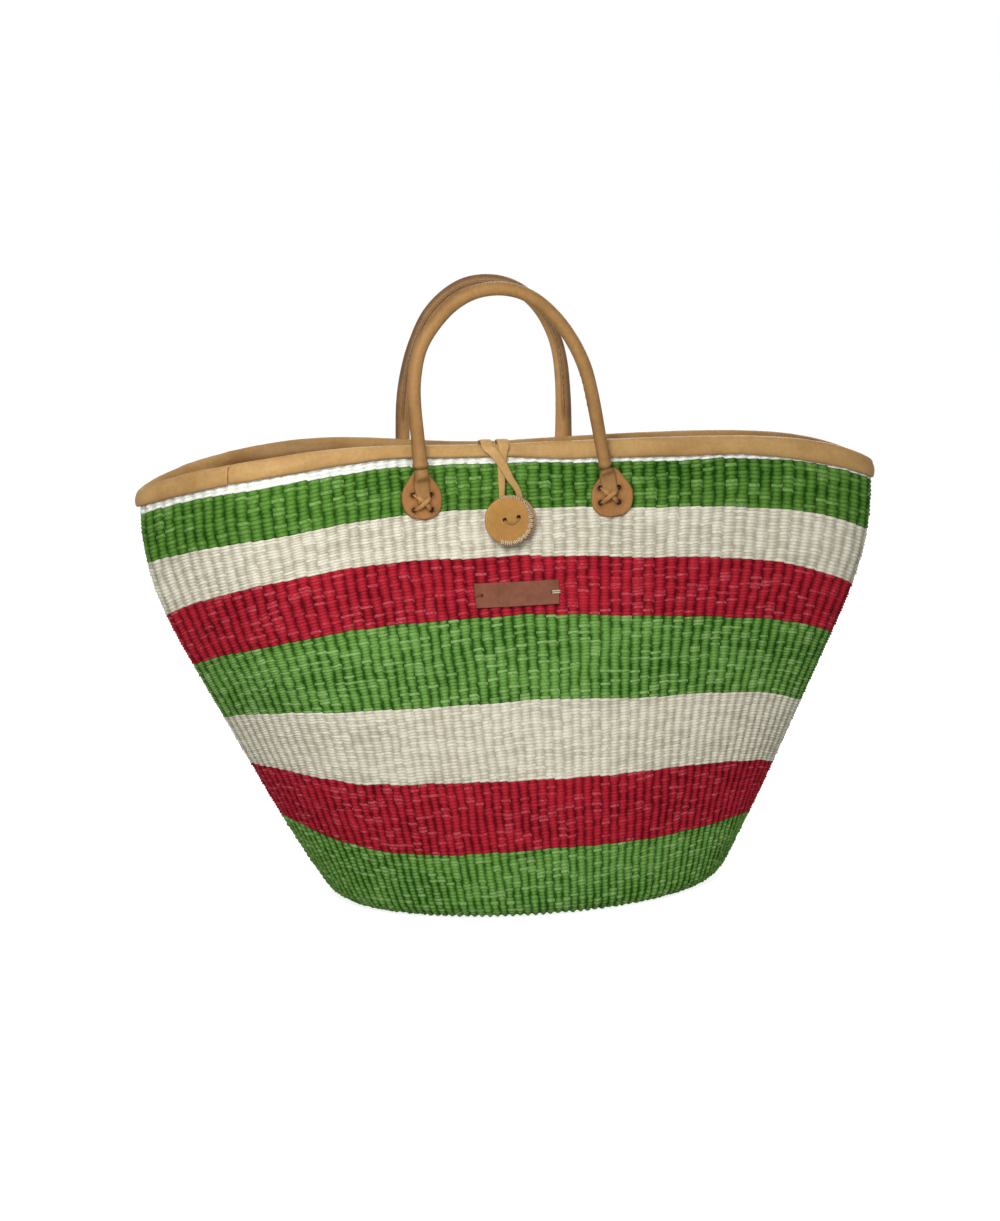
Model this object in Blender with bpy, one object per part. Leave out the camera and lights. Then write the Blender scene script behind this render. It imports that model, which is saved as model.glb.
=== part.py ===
# A twined market basket: an oval woven body in dyed bands, a folded leather binding on
# the rim, two rolled leather handles laced to teardrop patches, and a button that a
# leather thong closes over.
# Metres, +Z up, +X to the right, the front wall towards -Y. The origin is the centre of
# the base's underside.

import math

import bmesh
import bpy
import numpy as np
from mathutils import Matrix, Vector

# The woven body
BASE_HALF_LENGTH = 0.1225
BASE_HALF_WIDTH = 0.0755
MOUTH_HALF_LENGTH = 0.227
MOUTH_HALF_GAP = 0.0144
MOUTH_LEFT_LOBE = 0.0490
MOUTH_RIGHT_LOBE = 0.0120
MOUTH_SKEW = 0.0096
MOUTH_END_INNER_RADIUS = 0.002
WALL_SLANT = 0.2897
WALL_THICKNESS = 0.0045
FOOT_RADIUS = 0.012

# The leather binding on the rim
BINDING_THICKNESS = 0.0015
BINDING_SKIRT = 0.0093
BINDING_SEAM_X = -0.171
BINDING_SEAM_GAP = 0.0004

# The patches, the handle ends and their laces
PATCH_HEIGHT = 0.031
PATCH_WIDTH = 0.0265
PATCH_TOP_RADIUS = 0.0062
PATCH_THICKNESS = 0.0018
PATCH_RISE_OVER_HINGE = 0.0013
TONGUE_WIDTH = 0.0095
TONGUE_LENGTH = 0.0235
TONGUE_TIP_WIDTH = 0.0052
TONGUE_THICKNESS = 0.002
LACE_RADIUS = 0.001
LACE_UPPER_DROP = 0.0145
LACE_LOWER_DROP = 0.0237
LACE_HALF_SPREAD = 0.0058
HOLE_PLAY = 0.0005

# The handles
HINGE_DROP = 0.0152
FRONT_LEFT_FOOT_X = -0.0612
FRONT_RIGHT_FOOT_X = 0.0537
BACK_LEFT_FOOT_X = -0.069
BACK_RIGHT_FOOT_X = 0.0337
FRONT_LEFT_LACE_SHIFT = 0.0022
FRONT_RIGHT_LACE_SHIFT = 0.0035
FRONT_RIGHT_PATCH_ASIDE = 0.0017
FRONT_RIGHT_PATCH_LOWER = 0.0033
FRONT_HANDLE_RISE = 0.107
BACK_HANDLE_RISE = 0.1115
HANDLE_RADIUS = 0.0041
HANDLE_FOOT_RADIUS = 0.0048
HANDLE_FLARE_LENGTH = 0.032
CORE_RADIUS = 0.0026
SEAM_HEIGHT = 0.0026
SEAM_THICKNESS = 0.0022
SEAM_START = 0.024
SEAM_TAPER = 0.008
SEAM_THREAD_RADIUS = 0.0004

# The button and its thong
BUTTON_X = -0.0052
BUTTON_DROP = 0.0465
BUTTON_RADIUS = 0.0146
BUTTON_BACK_RADIUS = 0.0153
BUTTON_FRONT_SHIFT = -0.0028
BUTTON_FRONT_THICKNESS = 0.0024
BUTTON_BACK_THICKNESS = 0.0022
BUTTON_EDGE_ROUND = 0.0006
BUTTON_HOLE_HALF_SPREAD = 0.0043
BUTTON_LACE_RADIUS = 0.0008
SHANK_RADIUS = 0.0013
KNOT_RADIUS = 0.0036
EDGE_THREAD_RADIUS = 0.0004
EDGE_STITCH_REACH = 0.0013
THONG_WIDTH = 0.0058
THONG_TIP_WIDTH = 0.0034
THONG_THICKNESS = 0.0016
THONG_CROSSING_X = -0.0092
THONG_CROSSING_DROP = 0.0119
THONG_LEFT_RIM_X = -0.0157
THONG_RIGHT_RIM_X = -0.0076
THONG_SHANK_LOOP = 0.0054
THONG_ENTRY_SHIFT = 0.0009
THONG_BACK_DROP = 0.0235
THONG_BACK_HALF_SPREAD = 0.007
THONG_KNOT_WIDTH = 0.0085
THONG_KNOT_THICKNESS = 0.0045

# The label
LABEL_X = -0.004
LABEL_DROP = 0.092
LABEL_LENGTH = 0.0525
LABEL_HEIGHT = 0.0152
LABEL_THICKNESS = 0.0014
LABEL_HOLE_RADIUS = 0.0011
LABEL_HOLE_INSET = 0.0042
LABEL_THREAD_RADIUS = 0.0005

# Gaps between pieces
CLEARANCE = 0.0003
WALL_CLEARANCE = 0.0004
CUT_OVERRUN = 0.004

# How the wall leans and bulges: shares of the mouth's half length, of the slant or of
# the run from the base to the mouth. A lobe's lean shifts it towards its end of the mouth
LOBE_ROUNDNESS = 1.5
LEFT_LOBE_LEAN = 1.42
RIGHT_LOBE_LEAN = 1.3
LEAN_ROUNDNESS = 1.5
TOP_STEEPENS_FROM_SHARE = 0.62
TOP_UPRIGHT_FROM_SHARE = 0.94
TOP_LEAN_SHARE = -0.055
FOOT_BULGE_BELOW_SHARE = 0.30
FOOT_LEAN_SHARE = 1.275
LEFT_END_SHORT_SHARE = 0.006
RIGHT_END_SHORT_SHARE = 0.0125
BACK_LEFT_RISE_SHARE = 0.011
BACK_RISE_ROUNDNESS = 4

# Where each dyed band ends, as shares of the slant, at places along the mouth's half length
BANDS = ("foot_band_green", "lower_band_red", "lower_band_cream", "middle_band_green",
         "upper_band_red", "upper_band_cream", "top_band_green", "top_row_cream")
BAND_EDGE_PLACE_SHARES = (-1, -0.88, -0.75, -0.6, -0.45, -0.3, -0.15, 0,
                          0.15, 0.3, 0.45, 0.6, 0.75, 0.88, 1)
BAND_EDGE_SHARES = (
    (0.226, 0.199, 0.1715, 0.152, 0.142, 0.140, 0.142, 0.144,
     0.144, 0.142, 0.143, 0.1465, 0.1505, 0.155, 0.1595),
    (0.3555, 0.3395, 0.321, 0.301, 0.293, 0.291, 0.290, 0.289,
     0.287, 0.2865, 0.289, 0.288, 0.2845, 0.282, 0.280),
    (0.472, 0.470, 0.468, 0.460, 0.454, 0.453, 0.455, 0.458,
     0.455, 0.447, 0.4455, 0.444, 0.4405, 0.436, 0.431),
    (0.6055, 0.609, 0.616, 0.624, 0.6285, 0.6315, 0.636, 0.639,
     0.633, 0.624, 0.6165, 0.609, 0.6035, 0.600, 0.596),
    (0.7255, 0.7335, 0.7435, 0.7505, 0.7555, 0.7605, 0.762, 0.763,
     0.757, 0.748, 0.7425, 0.738, 0.729, 0.720, 0.713),
    (0.844, 0.839, 0.838, 0.840, 0.847, 0.857, 0.8635, 0.864,
     0.860, 0.854, 0.850, 0.8485, 0.845, 0.8415, 0.841),
    (0.9455, 0.9425, 0.9415, 0.9415, 0.947, 0.9555, 0.9595, 0.959,
     0.954, 0.950, 0.949, 0.952, 0.951, 0.9495, 0.950))
BAND_ROWS = (2, 1, 1, 2, 2, 2, 2, 1)

# The handles' lines, as shares of the span between the feet and of the rise
FRONT_HANDLE_SHARES = ((0, 0), (-0.018, 0.23), (-0.036, 0.45), (-0.022, 0.607), (0.022, 0.704),
                       (0.103, 0.81), (0.193, 0.91), (0.300, 0.974), (0.419, 1), (0.529, 0.979),
                       (0.629, 0.916), (0.73, 0.817), (0.82, 0.69), (0.888, 0.541),
                       (0.93, 0.35), (0.965, 0.17), (1, 0))
BACK_HANDLE_SHARES = ((0, 0), (0.005, 0.165), (0.014, 0.36), (0.054, 0.553), (0.0915, 0.654),
                      (0.1665, 0.803), (0.271, 0.907), (0.392, 0.978), (0.5375, 1), (0.688, 0.972),
                      (0.797, 0.901), (0.876, 0.813), (0.931, 0.709), (0.975, 0.58),
                      (0.999, 0.333), (1, 0))
FRONT_SEAM_TURN = -90
BACK_SEAM_TURN = 25
SLEEVE_END_SHARES = (1, 0.55)

# Where the thong turns over the rim and round the shank, in degrees, how it sags inside, and
# how far below the crossing its two sides have parted
THONG_RIM_TURNS = (125, 90, 55, 20)
THONG_SHANK_TURNS = (-45, -90, -135)
THONG_SAG_SHARE = 0.25
THONG_PARTING_SHARE = 0.45

# Counts
AROUND_COUNT = 64
SLANT_COUNT = 48
OUTLINE_COUNT = 4000
FOOT_STEPS = 2
BINDING_ARC_STEPS = 4
END_CROWDING_SHARE = 0.80
HANDLE_POINTS = 30
HANDLE_SIDES = 8
CORE_SIDES = 6
PATCH_ARC_STEPS = 6
HOLE_SIDES = 8
BUTTON_SIDES = 24
LABEL_RINGS = 5
SMOOTH_BELOW_DEGREES = 35
EDGE_STITCHES = 18

# Colours as red, green and blue, then roughness
GREEN = ((0.13, 0.33, 0.07), 0.75)
RED = ((0.42, 0.02, 0.05), 0.75)
CREAM = ((0.70, 0.66, 0.55), 0.80)
TAN = ((0.52, 0.31, 0.12), 0.55)
BROWN = ((0.24, 0.11, 0.06), 0.60)
ROPE = ((0.60, 0.52, 0.38), 0.90)
THREAD = ((0.78, 0.70, 0.52), 0.85)
BAND_COLOURS = (GREEN, RED, CREAM, GREEN, RED, CREAM, GREEN, CREAM)

FRONT = "front"
BACK = "back"


def clear_scene():
    for thing in list(bpy.data.objects):
        bpy.data.objects.remove(thing, do_unlink=True)


# Materials and objects

def material(name, look):
    colour, roughness = look
    made = bpy.data.materials.new(name)
    made.use_nodes = True
    shader = made.node_tree.nodes["Principled BSDF"]
    shader.inputs["Base Color"].default_value = (*colour, 1)
    shader.inputs["Roughness"].default_value = roughness
    shader.inputs["Metallic"].default_value = 0
    return made


def put(name, mesh, look, pivot=None):
    """Turn a finished bmesh into a named object, hung on a pivot empty where it moves."""
    bmesh.ops.recalc_face_normals(mesh, faces=mesh.faces)
    if pivot:
        bmesh.ops.translate(mesh, vec=-pivot.location, verts=mesh.verts)
    data = bpy.data.meshes.new(name)
    mesh.to_mesh(data)
    mesh.free()
    data.shade_smooth()
    data.set_sharp_from_angle(angle=math.radians(SMOOTH_BELOW_DEGREES))
    made = bpy.data.objects.new(name, data)
    made.data.materials.append(material(name, look))
    made.parent = pivot
    bpy.context.collection.objects.link(made)
    return made


def pivot_at(name, place):
    made = bpy.data.objects.new(name, None)
    made.location = place
    made.empty_display_size = HANDLE_RADIUS
    bpy.context.collection.objects.link(made)
    return made


def drill(name, places, radius, length, sides=HOLE_SIDES):
    """Make one hidden cutter out of a row of round bars, each centred on a place."""
    mesh = bmesh.new()
    for centre, direction in places:
        turn = direction.to_track_quat("Z", "Y").to_matrix().to_4x4()
        bmesh.ops.create_cone(mesh, cap_ends=True, segments=sides, radius1=radius, radius2=radius,
                              depth=length, matrix=Matrix.Translation(centre) @ turn)
    cutter = put(name, mesh, ROPE)
    cutter.hide_render = True
    cutter.display_type = "WIRE"
    return cutter


def cut(target, cutter):
    step = target.modifiers.new(cutter.name, "BOOLEAN")
    step.operation = "DIFFERENCE"
    step.object = cutter
    step.solver = "EXACT"


# Lofting one ring of points into the next

def place(loop, ring):
    for corner, point in zip(loop, ring):
        corner.co = point


def grow(mesh, loop):
    """Extrude a closed loop of corners and return the new loop in the same order."""
    edges = [mesh.edges.get((a, b)) for a, b in zip(loop, loop[1:] + loop[:1])]
    made = set(bmesh.ops.extrude_edge_only(mesh, edges=edges)["geom"])
    return [next(edge.other_vert(corner) for edge in corner.link_edges
                 if edge.other_vert(corner) in made) for corner in loop]


def loft(rings, closed=False):
    """Skin a row of rings, capped at both ends, or closed from the last to the first."""
    mesh = bmesh.new()
    first = bmesh.ops.create_circle(mesh, segments=len(rings[0]), radius=1)["verts"]
    place(first, rings[0])
    loop = first
    for ring in rings[1:]:
        loop = grow(mesh, loop)
        place(loop, ring)
    if closed:
        for i, corner in enumerate(loop):
            j = (i + 1) % len(loop)
            mesh.faces.new((corner, loop[j], first[j], first[i]))
    else:
        mesh.faces.new(first)
        mesh.faces.new(loop)
    return mesh


def smooth_line(points, count):
    """Read evenly spaced points off a rounded line through the given points."""
    known = [2 * points[0] - points[1], *points, 2 * points[-1] - points[-2]]
    dense = []
    for a, b, c, d in zip(known, known[1:], known[2:], known[3:]):
        for t in np.arange(0, 1, 1 / HANDLE_POINTS):
            dense.append(0.5 * (2 * b + (c - a) * t + (2 * a - 5 * b + 4 * c - d) * t ** 2
                                + (3 * b - a - 3 * c + d) * t ** 3))
    dense.append(points[-1])
    dense = np.array(dense)
    walked = np.concatenate([[0], np.cumsum(np.linalg.norm(np.diff(dense, axis=0), axis=1))])
    stops = np.linspace(0, walked[-1], count)
    return np.stack([np.interp(stops, walked, dense[:, k]) for k in range(dense.shape[1])], axis=1)


# The wall as one surface: a share around it, a drop below the rim and a rise off it

def outline_at(points, shares):
    closed = np.vstack([points, points[:1]])
    walked = np.concatenate([[0], np.cumsum(np.linalg.norm(np.diff(closed, axis=0), axis=1))])
    return np.stack([np.interp(shares * walked[-1], walked, closed[:, k]) for k in range(2)], axis=1)


def mouth_outline(turns):
    along = np.cos(turns)
    lobe = np.where(along < 0, MOUTH_LEFT_LOBE, MOUTH_RIGHT_LOBE)
    lean = np.where(along < 0, LEFT_LOBE_LEAN, RIGHT_LOBE_LEAN)
    swell = np.sin(np.abs(along) ** lean * np.pi) ** LOBE_ROUNDNESS
    half_gap = MOUTH_HALF_GAP + (lobe - MOUTH_HALF_GAP) * swell
    end_radius = MOUTH_END_INNER_RADIUS + BINDING_THICKNESS + WALL_CLEARANCE + WALL_THICKNESS
    bluntness = 2 * end_radius * MOUTH_HALF_LENGTH / MOUTH_HALF_GAP ** 2
    closing = np.sqrt(np.clip(1 - np.abs(along) ** bluntness, 0, 1))
    across = half_gap * closing * np.sign(np.sin(turns)) + MOUTH_SKEW * along
    return np.stack([MOUTH_HALF_LENGTH * along, across], axis=1)


def run_shares(slant_shares):
    """How much of the plan run from base to mouth is done at each share of the slant."""
    fine = np.linspace(0, 1, OUTLINE_COUNT)
    top = np.clip((fine - TOP_STEEPENS_FROM_SHARE) / (TOP_UPRIGHT_FROM_SHARE - TOP_STEEPENS_FROM_SHARE),
                  0, 1)
    foot = np.clip((FOOT_BULGE_BELOW_SHARE - fine) / FOOT_BULGE_BELOW_SHARE, 0, 1)
    slope = (1 - (1 - TOP_LEAN_SHARE) * top ** LEAN_ROUNDNESS
             - (1 - FOOT_LEAN_SHARE) * foot ** LEAN_ROUNDNESS)
    done = np.concatenate([[0], np.cumsum((slope[1:] + slope[:-1]) / 2)])
    return np.interp(slant_shares, fine, done / done[-1])


class Wall:
    """The body's outer face, read between columns that crowd at the mouth's two ends."""

    def __init__(self):
        even = np.arange(AROUND_COUNT) / AROUND_COUNT
        self.columns = even - END_CROWDING_SHARE * np.sin(4 * np.pi * even) / (4 * np.pi)
        turns = np.linspace(0, 2 * np.pi, OUTLINE_COUNT, endpoint=False)
        oval = np.stack([BASE_HALF_LENGTH * np.cos(turns), BASE_HALF_WIDTH * np.sin(turns)], axis=1)
        self.base = outline_at(oval, self.columns)
        mouth = outline_at(mouth_outline(turns), self.columns)
        along = mouth[:, 0] / MOUTH_HALF_LENGTH
        behind = 1 - (1 - np.clip(np.sin(2 * np.pi * self.columns), 0, 1)) ** BACK_RISE_ROUNDNESS
        self.left = np.clip(-along, 0, 1)
        self.right = np.clip(along, 0, 1)
        self.slants = WALL_SLANT * (1 - LEFT_END_SHORT_SHARE * self.left ** 3
                                    - RIGHT_END_SHORT_SHARE * self.right ** 3
                                    + BACK_LEFT_RISE_SHARE * self.left * behind)
        run = run_shares(np.linspace(0, 1, SLANT_COUNT + 1))[:, None, None]
        plan = self.base * (1 - run) + mouth * run
        step = np.linalg.norm(np.diff(plan, axis=0), axis=2)
        rise = np.sqrt((self.slants / SLANT_COUNT) ** 2 - step ** 2)
        height = np.vstack([np.zeros(AROUND_COUNT), np.cumsum(rise, axis=0)])
        self.points = np.dstack([plan, height])
        around = np.roll(self.points, -1, axis=1) - np.roll(self.points, 1, axis=1)
        up = np.gradient(self.points, axis=0)
        normals = np.cross(around, up)
        self.normals = normals / np.linalg.norm(normals, axis=2)[:, :, None]

    def column(self, share):
        """The column number, with a fraction, at a share around the wall."""
        wrapped = np.append(self.columns, 1)
        return np.interp(share % 1, wrapped, np.arange(AROUND_COUNT + 1))

    def read(self, table, share, level):
        place = self.column(share)
        i = int(place) % AROUND_COUNT
        j = min(int(level * SLANT_COUNT), SLANT_COUNT - 1)
        across = place - int(place)
        up = level * SLANT_COUNT - j
        k = (i + 1) % AROUND_COUNT
        low = table[j, i] * (1 - across) + table[j, k] * across
        high = table[j + 1, i] * (1 - across) + table[j + 1, k] * across
        return low * (1 - up) + high * up

    def slant_at(self, share):
        wrapped = np.append(self.slants, self.slants[0])
        return np.interp(self.column(share), np.arange(AROUND_COUNT + 1), wrapped)

    def normal(self, share, drop):
        return Vector(self.read(self.normals, share, 1 - drop / self.slant_at(share))).normalized()

    def point(self, share, drop, rise=0):
        level = 1 - drop / self.slant_at(share)
        return Vector(self.read(self.points, share, level)) + rise * self.normal(share, drop)

    def share_at(self, x, side):
        """The share around the wall where the rim passes over x, in front or behind."""
        half = AROUND_COUNT // 2
        rim = self.points[-1, :, 0]
        if side == BACK:
            return float(np.interp(-x, -rim[:half + 1], self.columns[:half + 1]))
        return float(np.interp(x, np.append(rim[half:], rim[0]), np.append(self.columns[half:], 1)))

    def beside(self, share, across, down, rise, drop):
        """A point reached from a place on the wall by going across, down and outwards."""
        reach = self.point(share + 1 / OUTLINE_COUNT, drop) - self.point(share, drop)
        turned = across / (reach.length * OUTLINE_COUNT)
        return self.point(share + turned, drop + down, rise)


# The woven body

def band_edge(wall, band, i):
    """The drop of a band's upper edge at one column."""
    along = wall.right[i] - wall.left[i]
    level = float(np.interp(along, BAND_EDGE_PLACE_SHARES, BAND_EDGE_SHARES[band]))
    return (1 - level) * wall.slants[i]


def cap_height():
    """How far the woven edge lies below the top of the binding."""
    return WALL_THICKNESS / 2 + WALL_CLEARANCE + BINDING_THICKNESS


def foot_curve(start, corner, end):
    steps = np.linspace(0, 1, FOOT_STEPS + 2)
    return [start * (1 - t) ** 2 + 2 * corner * t * (1 - t) + end * t ** 2 for t in steps]


def foot_inset(wall, i, inset):
    """The plan point that lies square inside the base's edge by the inset."""
    x, y = wall.base[i]
    out = Vector((x / BASE_HALF_LENGTH ** 2, y / BASE_HALF_WIDTH ** 2, 0)).normalized()
    return Vector((x, y, 0)) - inset * out


def foot_paths(wall, i):
    """The foot band's outer and inner lines up to where the wall runs straight."""
    share = wall.columns[i]
    drop = wall.slants[i] - FOOT_RADIUS
    thick = Vector((0, 0, WALL_THICKNESS))
    start = foot_inset(wall, i, FOOT_RADIUS)
    end = wall.point(share, drop)
    outer = foot_curve(start, foot_inset(wall, i, 0), end)
    inner_end = wall.point(share, drop, -WALL_THICKNESS)
    climb = end - wall.point(share, wall.slants[i])
    corner = inner_end - climb * ((inner_end.z - WALL_THICKNESS) / climb.z)
    return outer, foot_curve(start + thick, corner, inner_end)


def make_bands(wall):
    made = {}
    for band, name in enumerate(BANDS):
        outers, inners = [], []
        for i, share in enumerate(wall.columns):
            last = band == len(BANDS) - 1
            top = cap_height() if last else band_edge(wall, band, i) + CLEARANCE / 2
            outer, inner = [], []
            if band == 0:
                outer, inner = foot_paths(wall, i)
                outer, inner = outer[:-1], inner[:-1]
                bottom = wall.slants[i] - FOOT_RADIUS
            else:
                bottom = band_edge(wall, band - 1, i) - CLEARANCE / 2
            for drop in np.linspace(bottom, top, BAND_ROWS[band] + 1):
                outer.append(wall.point(share, drop))
                inner.append(wall.point(share, drop, -WALL_THICKNESS))
            outers.append(outer)
            inners.append(inner)
        up = [list(ring) for ring in zip(*outers)]
        down = [list(ring) for ring in zip(*inners)][::-1]
        made[name] = put(name, loft(up + down, closed=True), BAND_COLOURS[band])
    return made


def make_base(wall):
    rim = [foot_inset(wall, i, FOOT_RADIUS + CLEARANCE) for i in range(AROUND_COUNT)]
    top = [point + Vector((0, 0, WALL_THICKNESS)) for point in rim]
    put("base_disc", loft([rim, top]), GREEN)


def make_binding(wall):
    """The folded strip: a U section carried round the rim from one side of its seam to the other."""
    seam = wall.share_at(BINDING_SEAM_X, FRONT)
    reach = (wall.point(seam + 1 / OUTLINE_COUNT, 0) - wall.point(seam, 0)).length * OUTLINE_COUNT
    half = BINDING_SEAM_GAP / 2 / reach
    between = sorted((share - seam) % 1 for share in wall.columns)
    stops = [half] + [share for share in between if half < share < 1 - half] + [1 - half]
    centre = -WALL_THICKNESS / 2
    inner = WALL_THICKNESS / 2 + WALL_CLEARANCE
    outer = inner + BINDING_THICKNESS
    hem = cap_height() + BINDING_SKIRT
    angles = np.linspace(0, math.pi, BINDING_ARC_STEPS + 1)
    section = [(hem, centre + outer)]
    section += [(cap_height() - outer * math.sin(a), centre + outer * math.cos(a)) for a in angles]
    section += [(hem, centre - outer), (hem, centre - inner)]
    section += [(cap_height() - inner * math.sin(a), centre + inner * math.cos(a)) for a in angles[::-1]]
    section += [(hem, centre + inner)]
    rings = [[wall.point(seam + stop, drop, rise) for drop, rise in section] for stop in stops]
    put("rim_binding", loft(rings), TAN)


# The handles' fastenings

def teardrop():
    """Half the patch's outline from its top to its foot: two arcs and the line that touches both."""
    big = PATCH_WIDTH / 2
    apart = PATCH_HEIGHT - big - PATCH_TOP_RADIUS
    lean = math.asin((big - PATCH_TOP_RADIUS) / apart)
    half = []
    for radius, middle, first, last in ((PATCH_TOP_RADIUS, PATCH_TOP_RADIUS, math.pi / 2, lean),
                                        (big, PATCH_HEIGHT - big, lean, -math.pi / 2)):
        for angle in np.linspace(first, last, PATCH_ARC_STEPS + 1):
            half.append((radius * math.cos(angle), middle - radius * math.sin(angle)))
    return half


def patch_outline():
    half = teardrop()
    return half + [(-across, down) for across, down in half[-2:0:-1]]


def patch_rise():
    return WALL_CLEARANCE + PATCH_THICKNESS


def tongue_rise():
    return patch_rise() + CLEARANCE


def hinge_rise():
    """How far the hinge stands off the wall: the handle clears the binding behind it."""
    return WALL_CLEARANCE + BINDING_THICKNESS + 2 * CLEARANCE + HANDLE_FOOT_RADIUS


def make_patch(wall, name, share, shift, lower):
    """A flat teardrop of leather that follows the wall, as rings shrunk to its middle."""
    outline = patch_outline()
    middle = PATCH_HEIGHT / 2
    rings = []
    for scale, rise in ((0.5, patch_rise()), (1, patch_rise()), (1, WALL_CLEARANCE), (0.5, WALL_CLEARANCE)):
        rings.append([wall.beside(share, shift + across * scale,
                                  middle + (down - middle) * scale - PATCH_RISE_OVER_HINGE + lower,
                                  rise, HINGE_DROP) for across, down in outline])
    return put(name, loft(rings), TAN)


def make_tongue(wall, name, share, hinge, shift):
    """The handle's flat end: its top is cupped round the hinge and it narrows to its tip."""
    back = tongue_rise()
    front = back + TONGUE_THICKNESS
    stations = ((HANDLE_FOOT_RADIUS / 4, TONGUE_WIDTH, 0),
                (HANDLE_FOOT_RADIUS + TONGUE_THICKNESS, TONGUE_WIDTH, 0),
                (LACE_UPPER_DROP, TONGUE_TIP_WIDTH, shift), (TONGUE_LENGTH, TONGUE_TIP_WIDTH, shift))
    rings = []
    for down, width, aside in stations:
        corners = ((-width / 2, back), (width / 2, back), (width / 2, front), (-width / 2, front))
        rings.append([wall.beside(share, across + aside, down, rise, HINGE_DROP)
                      for across, rise in corners])
    made = put(name, loft(rings), TAN)
    cut(made, hinge)


def lace_holes(wall, share, shift):
    holes = []
    for down in (LACE_UPPER_DROP, LACE_LOWER_DROP):
        for across in (-LACE_HALF_SPREAD, LACE_HALF_SPREAD):
            place_on = wall.beside(share, shift + across, down, -WALL_THICKNESS / 2, HINGE_DROP)
            holes.append((place_on, wall.normal(share, HINGE_DROP + down)))
    return holes


def make_lace(wall, name, share, shift):
    """One closed lace: two crossed runs outside and two upright runs inside the wall."""
    low = tongue_rise() + TONGUE_THICKNESS + CLEARANCE + LACE_RADIUS
    over = low + 2 * LACE_RADIUS + CLEARANCE
    edge = patch_rise() + CLEARANCE + LACE_RADIUS
    inside = -WALL_THICKNESS - CLEARANCE - LACE_RADIUS
    left, right = -LACE_HALF_SPREAD, LACE_HALF_SPREAD
    middle = (LACE_UPPER_DROP + LACE_LOWER_DROP) / 2
    slope = (LACE_LOWER_DROP - LACE_UPPER_DROP) / (right - left)
    near = TONGUE_TIP_WIDTH / 2 + LACE_RADIUS
    beside_tip = near * slope
    route = []
    for level, start, end, first, last, turn in (
            (low, left, right, LACE_UPPER_DROP, LACE_LOWER_DROP, 1),
            (over, right, left, LACE_UPPER_DROP, LACE_LOWER_DROP, -1)):
        step = near * turn
        route += [(start, first, inside), (start, first, edge), (-step, middle - beside_tip, level),
                  (step, middle + beside_tip, level), (end, last, edge), (end, last, inside)]
    points = [wall.beside(share, shift + across, down, rise, HINGE_DROP) for across, down, rise in route]
    return curve(name, points, LACE_RADIUS, TAN, cyclic=True)


def curve(name, points, radius, look, cyclic=False, pivot=None, resolution=1):
    data = bpy.data.curves.new(name, "CURVE")
    data.dimensions = "3D"
    data.bevel_depth = radius
    data.bevel_resolution = resolution
    data.use_fill_caps = not cyclic
    line = data.splines.new("POLY")
    line.points.add(len(points) - 1)
    for corner, point in zip(line.points, points):
        corner.co = (*(Vector(point) - (pivot.location if pivot else Vector())), 1)
    line.use_cyclic_u = cyclic
    made = bpy.data.objects.new(name, data)
    data.materials.append(material(name, look))
    made.parent = pivot
    bpy.context.collection.objects.link(made)
    return made


# The handles

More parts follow.
